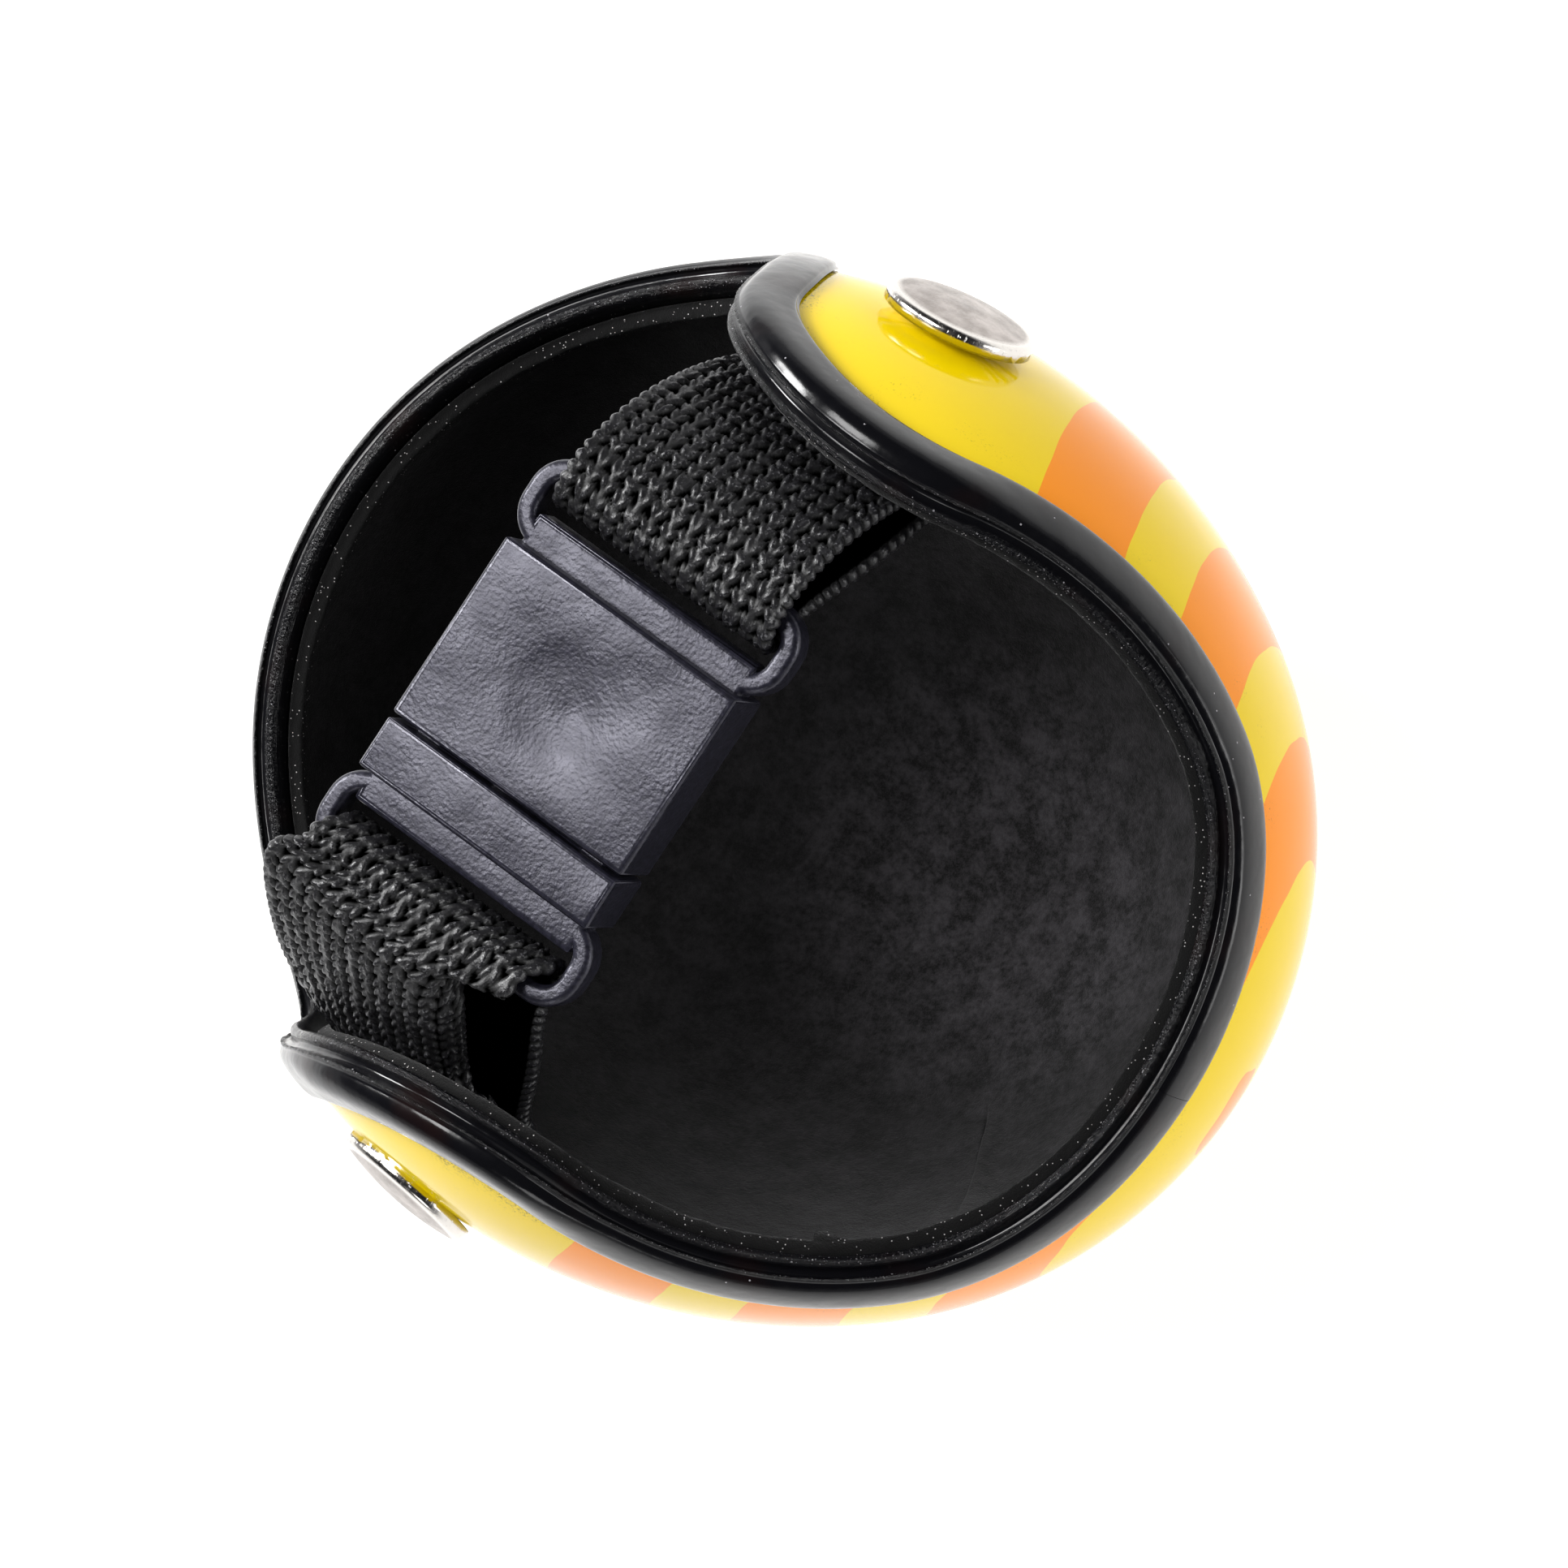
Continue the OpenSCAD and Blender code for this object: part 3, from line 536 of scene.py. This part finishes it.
def build_shell():
    rows = 84
    places = dome(420, rows, 0.0)[1]
    outer, inner = places(0.0)[0], places(-SHELL_T)[0]
    o = laid_sheet("shell_moulding", np.concatenate([outer, inner[::-1]]))
    near = np.clip(1 + (np.arange(len(outer)) - rows) / RUB_ROWS, 0, 1)
    near = near[:, None].repeat(outer.shape[1], 1)
    point_value(o, "rim_near", np.concatenate([near, near[::-1]]))
    # rubbed black beside the edging, on the right lobe's rear flank and the left lobe's front
    x, y = outer[..., 0], outer[..., 1]
    right = smooth(x, 3, 5) * (1 - smooth(x, 12, 15)) * (y < 0)
    left = smooth(-x, 4, 6) * (1 - smooth(-x, 11, 13)) * (y > 0)
    rubbed = np.clip((right + 0.7 * left) * smooth(near, 0.3, 0.9), 0, 1)
    point_value(o, "rubbed", np.concatenate([rubbed, rubbed[::-1]]))
    finish_mesh(o, angle=40)
    o.data.materials.append(shell_plastic())
    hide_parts("shell")
    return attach(o, "helmet")


# ---------------------------------------------------------------- edging
# The section, clockwise from the outer leg's foot: the distance out of the rim and the height
# above the shell. Two of its points, by number, are the ridges that face the opening.
OUTER_RIDGE, INNER_RIDGE = 14, 23
EDGING_SECTION = np.array([
    (-LEG_LEN, 0.08), (-LEG_LEN - 0.03, 0.3), (-LEG_LEN + 0.05, 0.46), (-LEG_LEN + 0.25, 0.55),
    (-1.3, 0.62), (-0.7, 0.67), (0.0, 0.68), (0.5, 0.64), (0.85, 0.55), (1.05, 0.42), (1.18, 0.3),
    (1.26, 0.2), (1.36, 0.16), (1.46, 0.12), (1.51, 0.04), (1.47, -0.05), (1.35, -0.13),
    (1.25, -0.25), (1.24, -0.4), (1.33, -0.54), (1.5, -0.64), (1.69, -0.72), (1.82, -0.85),
    (1.86, -1.0), (1.79, -1.18), (1.62, -1.34), (1.34, -1.5), (0.9, -1.61), (0.2, -1.65),
    (-0.6, -1.65), (-1.4, -1.63), (-1.75, -1.55), (-LEG_LEN, -1.4), (-LEG_LEN + 0.02, CHAN_IN),
    (EDGE_ROOM - 0.2, CHAN_IN), (EDGE_ROOM, CHAN_IN + 0.2), (EDGE_ROOM, -0.1),
    (EDGE_ROOM - 0.2, LAY)])
EDGING_JOINT, JOINT_GAP = -0.4, 0.012
# pitch of the teeth on the outer ridge, and how much fuller the vinyl stands round a lobe's tip
TOOTH, TIP_SWELL = 0.62, 0.38


def rounded(points):
    """The closed line through points, rounded, with one more point between each two."""
    before, after = np.roll(points, 1, axis=0), np.roll(points, -1, axis=0)
    halfway = (9 * (points + after) - before - np.roll(points, -2, axis=0)) / 16
    return np.stack([points, halfway], 1).reshape(-1, 2)


def build_edging():
    rings = 1180
    section = rounded(EDGING_SECTION)
    section = np.concatenate([section, section[:1]])
    s = EDGING_JOINT + np.linspace(JOINT_GAP / 2, 2 * HALF_RUN - JOINT_GAP / 2, rings)
    p, _, out = rim_frame(s)
    u, h = (section[:, k][None].repeat(rings, 0) for k in (0, 1))
    index = np.arange(len(section)) / 2.0
    outer = np.exp(-(((index - OUTER_RIDGE) / 1.3) ** 2))[None]
    inner = np.exp(-(((index - INNER_RIDGE) / 2.2) ** 2))[None]
    path = np.stack([s, 0 * s, 0 * s], -1)
    teeth = (0.5 + 0.5 * np.sin(2 * math.pi * s / TOOTH + 1.5 * rumple(path, 2.1, 3)))[:, None]
    nick = rumple(path, 0.9, 4)[:, None]
    wander = rumple(path, 6.0, 5)[:, None]
    u = u + outer * (0.05 * teeth + 0.06 * nick + 0.04 * wander) + inner * (0.05 * wander + 0.03 * nick)
    h = h + inner * 0.06 * rumple(path, 4.0, 6)[:, None]
    # round the lobes' tips the drawn vinyl stands fuller, like a tube
    tip = smooth(p[:, 2], 49.5, 54.0)[:, None]
    h = h + tip * np.exp(-(((u - 0.2) / 1.3) ** 2)) * np.where(h > -0.3, TIP_SWELL, -0.2)
    # the two ends meet a little out of line, and the first one is slightly longer in the leg
    first = (smooth(s - EDGING_JOINT, 0.0, 9.0) - 1)[:, None]
    leg = smooth(-u, 0.5, 2.2)
    u = u + 0.16 * first * leg
    h = h + np.where(index[None] < 12, 0.04 * first, 0)
    places = oval(p[:, None] + u[..., None] * out[:, None], h)[0]
    o = laid_sheet("rim_edging_trim", places)
    point_value(o, "ridge", (outer + inner).repeat(rings, 0))
    finish_mesh(o, fill_ends=True, angle=60)
    around = float(np.linalg.norm(np.diff(section, axis=0), axis=1).sum())
    o.data.materials.append(edging_vinyl(2 * HALF_RUN, around))
    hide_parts("rim_edging")
    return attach(o, "helmet")


# ---------------------------------------------------------------- felt liner
# the dart's place along the rim, where it starts between crown and rim, and the slit's width
DART_S, DART_FROM, SLIT_W = -24.5, 0.32, 0.2


def build_felt():
    rows = 72
    dart = [DART_S + d for d in (-0.8, -0.5, -0.3, -0.15, 0.0, 0.12, 0.24, 0.36, 0.6, 0.9, 1.3)]
    s, places = dome(560, rows, FELT_RISE, dart)
    back = places(FELT_OUT)[0]
    face, n = places(FELT_IN)
    face = face - n * (0.12 * rumple(face, 7.0, 11) + 0.05 * rumple(face, 1.6, 12))[..., None]
    steps = np.arange(face.shape[0])[:, None] - rows
    fringe = np.clip((steps + 2) / 9.0, 0, 1)
    face = face - n * (fringe * 0.05 * rumple(face, 0.6, 13))[..., None]
    p, pn, out = rim_frame(s)
    lip = []
    mid, half = (FELT_OUT + FELT_IN) / 2, FELT_T / 2
    for a in (25, 55, 90, 125, 155):
        c, d = math.cos(math.radians(a)), math.sin(math.radians(a))
        q = oval(p + (FELT_RISE + 0.18 * d) * out, mid + half * c)[0]
        along_n, along_out = 0.06 * rumple(q, 0.6, 14), 0.08 * rumple(q, 0.6, 15)
        lip.append(q + pn * along_n[:, None] + out * along_out[:, None])
    lip = np.stack(lip)
    # the dart: a slit from the edge, its two lips drawn together and a little proud
    off = (s + HALF_RUN) % (2 * HALF_RUN) - HALF_RUN - DART_S
    depth = smooth(np.arange(face.shape[0])[:, None] / rows, DART_FROM, DART_FROM + 0.1)
    slit = np.exp(-((off / SLIT_W) ** 2))[None] * depth
    lap = (smooth(off, 0.0, 0.35) * (1 - smooth(off, 0.6, 3.0)))[None] * depth
    face = face + n * (0.5 * slit - 0.6 * lap)[..., None]
    sheet = np.concatenate([back, lip, face[::-1]])
    o = laid_sheet("felt_liner_cloth", sheet)
    # where the cut felt gets its painted shade and glints: the lip and the slit, fading over three rows
    # of the face
    cut_shade_glint = np.zeros(sheet.shape[:2])
    start, end = len(back), len(back) + len(lip)
    cut_shade_glint[start:end] = 1.0
    cut_shade_glint[end:] = 0.95 * slit[::-1]
    for k in range(3):
        cut_shade_glint[end + k] = 1 - k / 3
    point_value(o, "cut_shade_and_glint", cut_shade_glint)
    finish_mesh(o, angle=180)
    o.data.materials.append(felt_cloth())
    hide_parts("felt_liner")
    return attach(o, "helmet")


# ---------------------------------------------------------------- elastic straps
# Each strap goes up from its pad on the felt (layer 1), round the buckle's bar and back down to
# the pad (layer -1). Side 1 is the left one. Heights, the bow across the strap on the felt, and
# the buckle's own lengths:
STRAP_H = [FELT_IN - STRAP_GAP - STRAP_T / 2, FELT_IN - STRAP_GAP - LAY - 1.5 * STRAP_T]
CAMBER = (STRAP_W / 2) ** 2 / (2 * (SIDE_R + FELT_IN)) + EDGE_LIFT
FRAME_LEN = INNER_BAR + SLOT_LEN + BAR_W
BUCKLE_LEN = 2 * FRAME_LEN + SOCKET_LEN + CLOSE_GAP + COLLAR_LEN
BAR_Y = BUCKLE_LEN / 2 - BAR_W / 2
LOOP_R = BAR_H / 2 + 0.2 + STRAP_T / 2
# by side: the slope of the pad and how far the top layer is drawn along the buckle's width
PAD_LEAN, PULL = {1: 0.0, -1: -0.3}, {1: 0.0, -1: -1.0}
# by layer: the top of the pad and how stiffly the free span leaves the pad and the bar
PAD_TOP, LEAD, REACH = {1: 8.0, -1: 4.0}, {1: 3.8, -1: 3.0}, {1: 5.0, -1: 4.0}
# by side and layer: how far the free span hangs out of its shortest way
SLACK = {(1, 1): [0, 0, 0], (-1, 1): [-0.9, 1.8, 2.4], (1, -1): [0, 0, -1.8], (-1, -1): [0, 0, -1.8]}


def turned(a, b, degrees):
    """The pair a, b turned in its own plane."""
    c, d = math.cos(math.radians(degrees)), math.sin(math.radians(degrees))
    return a * c + b * d, b * c - a * d


def along_buckle(v):
    """A direction given in the buckle's own axes, turned into the helmet's."""
    x, z = turned(v[0], v[2], BUCKLE_LEAN)
    x, y = turned(x, v[1], BUCKLE_YAW)
    return np.array([x, y, z])


def pad_ring(side, t, h):
    """Centre, width, inward direction and bow of the strap on the felt, t above the rivet."""
    p, n = rivet_at(side)
    wide = unit(np.array([1.0, 0, 0]) - n[0] * n)
    q, qn = oval(p + t * (np.cross(wide, n) * side + PAD_LEAN[side] * wide), h)
    return q, wide, -qn, CAMBER


def bezier(a, b, c, d, t):
    return a * (1 - t) ** 3 + 3 * b * t * (1 - t) ** 2 + 3 * c * t * t * (1 - t) + d * t**3


def span_ring(side, up, t):
    """The same on the free span, t from 0 at the pad to 1 at the buckle's bar."""
    h = STRAP_H[0] if up > 0 else STRAP_H[1]
    a = pad_ring(side, PAD_TOP[up], h)[0]
    rise = unit(pad_ring(side, PAD_TOP[up] + 0.5, h)[0] - pad_ring(side, PAD_TOP[up] - 0.5, h)[0])
    d = BUCKLE_AT + along_buckle([0, side * BAR_Y, up * LOOP_R])
    b, c = a + rise * LEAD[up], d + along_buckle([0, side, 0]) * REACH[up]
    slack = np.array(SLACK[side, up], float) * (t / 0.6) ** 3 * ((1 - t) / 0.4) ** 2
    run = unit(bezier(a, b, c, d, t + 0.01) - bezier(a, b, c, d, t - 0.01))
    wide = unit(lerp(np.array([1.0, 0, 0]), along_buckle([1, 0, 0]), t))
    wide = unit(wide - (wide @ run) * run)
    return bezier(a, b, c, d, t) + slack, wide, np.cross(wide, run) * side, CAMBER * (1 - t) ** 2


def strap_path(side):
    """Rings along the folded strap: centre, width, outward direction, bow, and curl."""
    rings = []
    for t in np.arange(-STRAP_TAIL, PAD_TOP[1] - 0.5, 1.0):
        q, w, k, b = pad_ring(side, t, STRAP_H[0])
        rings.append((q, w, -k, -b, 0.0))
    for t in np.linspace(0, 1, 25):
        q, w, k, b = span_ring(side, 1, t)
        curl = smooth(t, 0.0, 0.3) * lerp(0.7, 1.0, smooth(t, 0.5, 0.8)) * (1 - smooth(t, 0.84, 1.0))
        drawn = PULL[side] * smooth(t, 0.4, 0.9)
        rings.append((q + along_buckle([drawn, 0, 0]), w, -k, -b, curl))
    for a in np.radians(np.arange(12, 180, 12)):
        drawn = PULL[side] * (1 - smooth(a, 0.2, 1.3))
        back, rise = side * math.sin(a), math.cos(a)
        q = BUCKLE_AT + along_buckle([drawn, side * BAR_Y - LOOP_R * back, LOOP_R * rise])
        rings.append((q, along_buckle([1, 0, 0]), along_buckle([0, -back, rise]), 0.0, 0.0))
    for t in np.linspace(1, 0, 21):
        q, w, k, b = span_ring(side, -1, t)
        rings.append((q, w, k, b, 0.0))
    for t in np.arange(PAD_TOP[-1] - 1.0, -STRAP_TAIL - 0.5, -1.0):
        q, w, k, b = pad_ring(side, t, STRAP_H[1])
        rings.append((q, w, k, b, 0.0))
    return [np.array(v, float) for v in zip(*rings)]


# The knit: columns across, pitch of the stitches, radius of a yarn, depth of the relief, pitch of
# the loops along the edge; then how much of the nape edge rolls under, and its radius
WALES, STITCH, YARN_R, RELIEF, LOOP = 14, 0.95, 0.27, 0.5, 0.75
ROLLED, ROLL_R = 4.4, 1.45
# the mesh's columns on each side of the section, and the pitch of its rows
FACE_COLS, EDGE_COLS, UNDER_COLS, ROW_PITCH = 122, 7, 14, 0.14


def chance(*whole):
    """A fixed number from 0 to 1 for each combination of whole numbers."""
    mixed = sum(n * f for n, f in zip(whole, (12.9898, 78.233, 37.719)))
    return (np.sin(mixed) * 43758.5453) % 1


def knit(u, v):
    """Height of the knitted face, 0 to RELIEF, at u across and v along: columns of slanting
    yarns that meet in a V, uneven in height and place."""
    pitch = STRAP_W / WALES
    column = np.floor((u + STRAP_W / 2) / pitch)
    x = np.abs(u + STRAP_W / 2 - (column + 0.5) * pitch) / (pitch / 2)
    drift = 0.16 * np.sin(v * 0.9 + column * 2.4) + 0.09 * np.sin(v * 2.9 + column)
    phase = (v + drift + x * pitch / 2 + STITCH * chance(column, 0 * column)) / STITCH
    stitch = np.floor(phase)
    size = 0.7 + 0.3 * chance(stitch, column)
    d = (phase % 1 - 0.5 + 0.16 * (chance(column, stitch) - 0.5)) * STITCH / math.sqrt(2)
    ends = np.clip(np.sin(math.pi * np.clip(x * 0.92 + 0.05, 0, 1)), 0, 1) ** 0.55
    yarn = np.sqrt(np.clip(YARN_R**2 - d * d, 0, None)) / YARN_R * ends * size
    # where the V's meet the next loop fills the gap, so the holes are short and lie apart
    loop = np.exp(-((x / 0.5) ** 4)) * (0.45 + 0.35 * chance(stitch, column, 1.0))
    return np.maximum(yarn, loop) * RELIEF


def build_strap(side, name, node):
    centre, wide, out, bow, curl = strap_path(side)
    run = np.concatenate([[0], np.cumsum(np.linalg.norm(np.diff(centre, axis=0), axis=1))])
    rows = int(run[-1] / ROW_PITCH)
    v = np.linspace(0, run[-1], rows)
    centre, wide, out = (
        np.stack([np.interp(v, run, a[:, k]) for k in range(3)], -1) for a in (centre, wide, out))
    wide, out = unit(wide), unit(out)
    bow, curl = np.interp(v, run, bow), np.interp(v, run, curl)
    half_t = STRAP_T / 2
    flat = STRAP_W / 2 - half_t
    # round the section: the face, the nape edge, the underside and the brow edge
    turn = np.radians(np.linspace(90, -90, EDGE_COLS + 2)[1:-1])
    edge_u, edge_h = flat + half_t * np.cos(turn), half_t * np.sin(turn)
    face_u, under_u = np.linspace(-flat, flat, FACE_COLS), np.linspace(flat, -flat, UNDER_COLS)
    u = np.concatenate([face_u, edge_u, under_u, -edge_u[::-1]])
    h = np.concatenate([0 * face_u + half_t, edge_h, 0 * under_u - half_t, edge_h[::-1]])
    u, h = u[None].repeat(rows, 0), h[None].repeat(rows, 0)
    stitch = np.zeros_like(u)
    face = knit(u[:, :FACE_COLS], v[:, None])
    stitch[:, :FACE_COLS] = face / RELIEF
    h[:, :FACE_COLS] += face - RELIEF
    edge = np.abs(np.sin(math.pi * v / LOOP + 0.8 * np.sin(v * 0.7)))[:, None] ** 0.7
    squeeze = 0.45 + 0.55 * edge
    for cols in (slice(FACE_COLS, FACE_COLS + EDGE_COLS), slice(-EDGE_COLS, None)):
        u[:, cols] = np.sign(u[:, cols]) * (flat + (np.abs(u[:, cols]) - flat) * squeeze)
        h[:, cols] *= 0.7 + 0.3 * edge
        stitch[:, cols] = edge
    h += bow[:, None] * (2 * u / STRAP_W) ** 2
    if side < 0:
        # the nape edge of this strap rolls under between the buckle and the rim
        start = flat + half_t - ROLLED * curl[:, None]
        over = np.clip(u - start, 0, None)
        angle = over / ROLL_R
        u = np.where(over > 0, start + (ROLL_R + h) * np.sin(angle), u)
        h = np.where(over > 0, (ROLL_R + h) * np.cos(angle) - ROLL_R, h)
    places = centre[:, None] + wide[:, None] * u[..., None] + out[:, None] * h[..., None]
    places = np.concatenate([places, places[:, :1]], axis=1)
    stitch = np.concatenate([stitch, stitch[:, :1]], axis=1)
    o = laid_sheet(name, places)
    point_value(o, "stitch", stitch)
    finish_mesh(o, fill_ends=True, angle=180)
    o.data.materials.append(ELASTIC)
    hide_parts(node)
    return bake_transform(o)


# ---------------------------------------------------------------- moulded and turned parts
def smoothed_copy(node, name, material, body, turn=None):
    """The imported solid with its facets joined, its round faces shaded smooth and, if turn is
    given, its points moved by it."""
    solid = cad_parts[node]
    alone(solid)
    bpy.ops.object.duplicate()
    o = bpy.context.object
    o.name = o.data.name = name
    o.data.materials.clear()
    finish_mesh(o, angle=28)
    if turn is not None:
        o.data.transform(turn)
    o.data.materials.append(material)
    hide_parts(node)
    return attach(o, body)


# by side: degrees that a rivet's cap leans, and how far it is pressed in
CAP_TIP, CAP_SUNK = {1: 0.0, -1: 5.0}, {1: 0.0, -1: 0.55}


def tipped(side, at, axis):
    """Turn about a rivet's foot that leans its cap towards the opening, and a small step in."""
    hinge = Vector(unit(np.cross(axis, [0, 0, 1.0])))
    there = Matrix.Translation(at * MM)
    inward = Matrix.Translation(-CAP_SUNK[side] * MM * axis)
    return inward @ there @ Matrix.Rotation(math.radians(CAP_TIP[side]), 4, hinge) @ there.inverted()


# ---------------------------------------------------------------- set
CAMERA_AT = np.array([139.83, 37.06, 312.97])
CAMERA_X = np.array([0.7423, 0.5113, -0.433])
CAMERA_DOWN = np.array([0.5046, -0.8518, -0.1408])
CAMERA_BACK = np.array([0.4408, 0.114, 0.8903])


def add_camera():
    data = bpy.data.cameras.new("camera")
    data.lens, data.sensor_width = 123.6, 36.0
    data.clip_start, data.clip_end = 0.01, 10.0
    cam = bpy.data.objects.new("camera", data)
    bpy.context.scene.collection.objects.link(cam)
    turn = Matrix([CAMERA_X, -CAMERA_DOWN, CAMERA_BACK]).transposed().to_4x4()
    cam.matrix_world = Matrix.Translation(CAMERA_AT * MM) @ turn
    bpy.context.scene.camera = cam


def add_light(name, right, down, back, size, power):
    """A square softbox placed from the helmet's middle along the camera's directions, in mm."""
    data = bpy.data.lights.new(name, "AREA")
    data.shape, data.size = "SQUARE", size * MM
    data.energy = power
    lamp = bpy.data.objects.new(name, data)
    bpy.context.scene.collection.objects.link(lamp)
    at = MID + right * CAMERA_X + down * CAMERA_DOWN + back * CAMERA_BACK
    lamp.location = at * MM
    lamp.rotation_mode = "QUATERNION"
    lamp.rotation_quaternion = Vector(at - MID).to_track_quat("Z", "Y")


def add_set():
    """A pale floor, a plain studio round it that is darker above, and the softboxes."""
    bpy.ops.object.select_all(action="DESELECT")
    bpy.ops.mesh.primitive_plane_add(size=6.0)
    floor = bpy.context.object
    floor.name = "floor"
    p = Paint("floor_white")
    tone = p.noise(p.place((1.0, 1.0, 1.0)), 3.0, 1.0)
    p.shader(Base_Color=p.mix(tone, (0.3, 0.3, 0.3, 1.0), (0.34, 0.34, 0.34, 1.0)), Roughness=0.8,
             Emission_Color=(1.0, 1.0, 1.0, 1.0), Emission_Strength=0.95)
    floor.data.materials.append(p.mat)
    world = bpy.data.worlds.new("studio")
    bpy.context.scene.world = world
    world.use_nodes = True
    tree = world.node_tree
    coord = tree.nodes.new("ShaderNodeTexCoord")
    split = tree.nodes.new("ShaderNodeSeparateXYZ")
    ramp = tree.nodes.new("ShaderNodeValToRGB")
    tree.links.new(coord.outputs["Generated"], split.inputs[0])
    tree.links.new(split.outputs["Z"], ramp.inputs[0])
    tree.links.new(ramp.outputs[0], tree.nodes["Background"].inputs["Color"])
    low, high = ramp.color_ramp.elements
    low.position, low.color = 0.15, (0.85, 0.85, 0.87, 1)
    high.position, high.color = 0.34, (0.04, 0.04, 0.046, 1)
    tree.nodes["Background"].inputs["Strength"].default_value = 0.5
    add_light("key_softbox", -310, -150, 440, 220, 2.5)
    add_light("side_softbox", -420, -260, 130, 170, 3.7)
    add_light("right_softbox", 430, 150, 270, 200, 0.6)
    add_light("fill_softbox", 420, 40, 260, 150, 0.15)
    add_light("front_softbox", -120, 430, 240, 150, 0.3)
    bpy.context.scene.view_settings.view_transform = "Standard"


add_camera()
add_set()
build_shell()
build_edging()
build_felt()
ELASTIC = elastic_knit()
build_strap(1, "elastic_strap_left", "strap_left")
build_strap(-1, "elastic_strap_right", "strap_right")

BUCKLE = buckle_plastic()
for part in ("socket", "plug"):
    smoothed_copy(f"buckle_{part}", f"buckle_{part}_moulding", BUCKLE, part)
for side, label in ((1, "left"), (-1, "right")):
    at, axis = rivet_at(side)
    for part, radius in (("cap", CAP_D / 2), ("base", FLANGE_D / 2)):
        metal = nickel(f"nickel_{part}_{label}", at, axis, radius)
        node, turn = f"rivet_{part}_{label}", tipped(side, at, axis) if part == "cap" else None
        smoothed_copy(node, node + "_plated", metal, "helmet", turn)
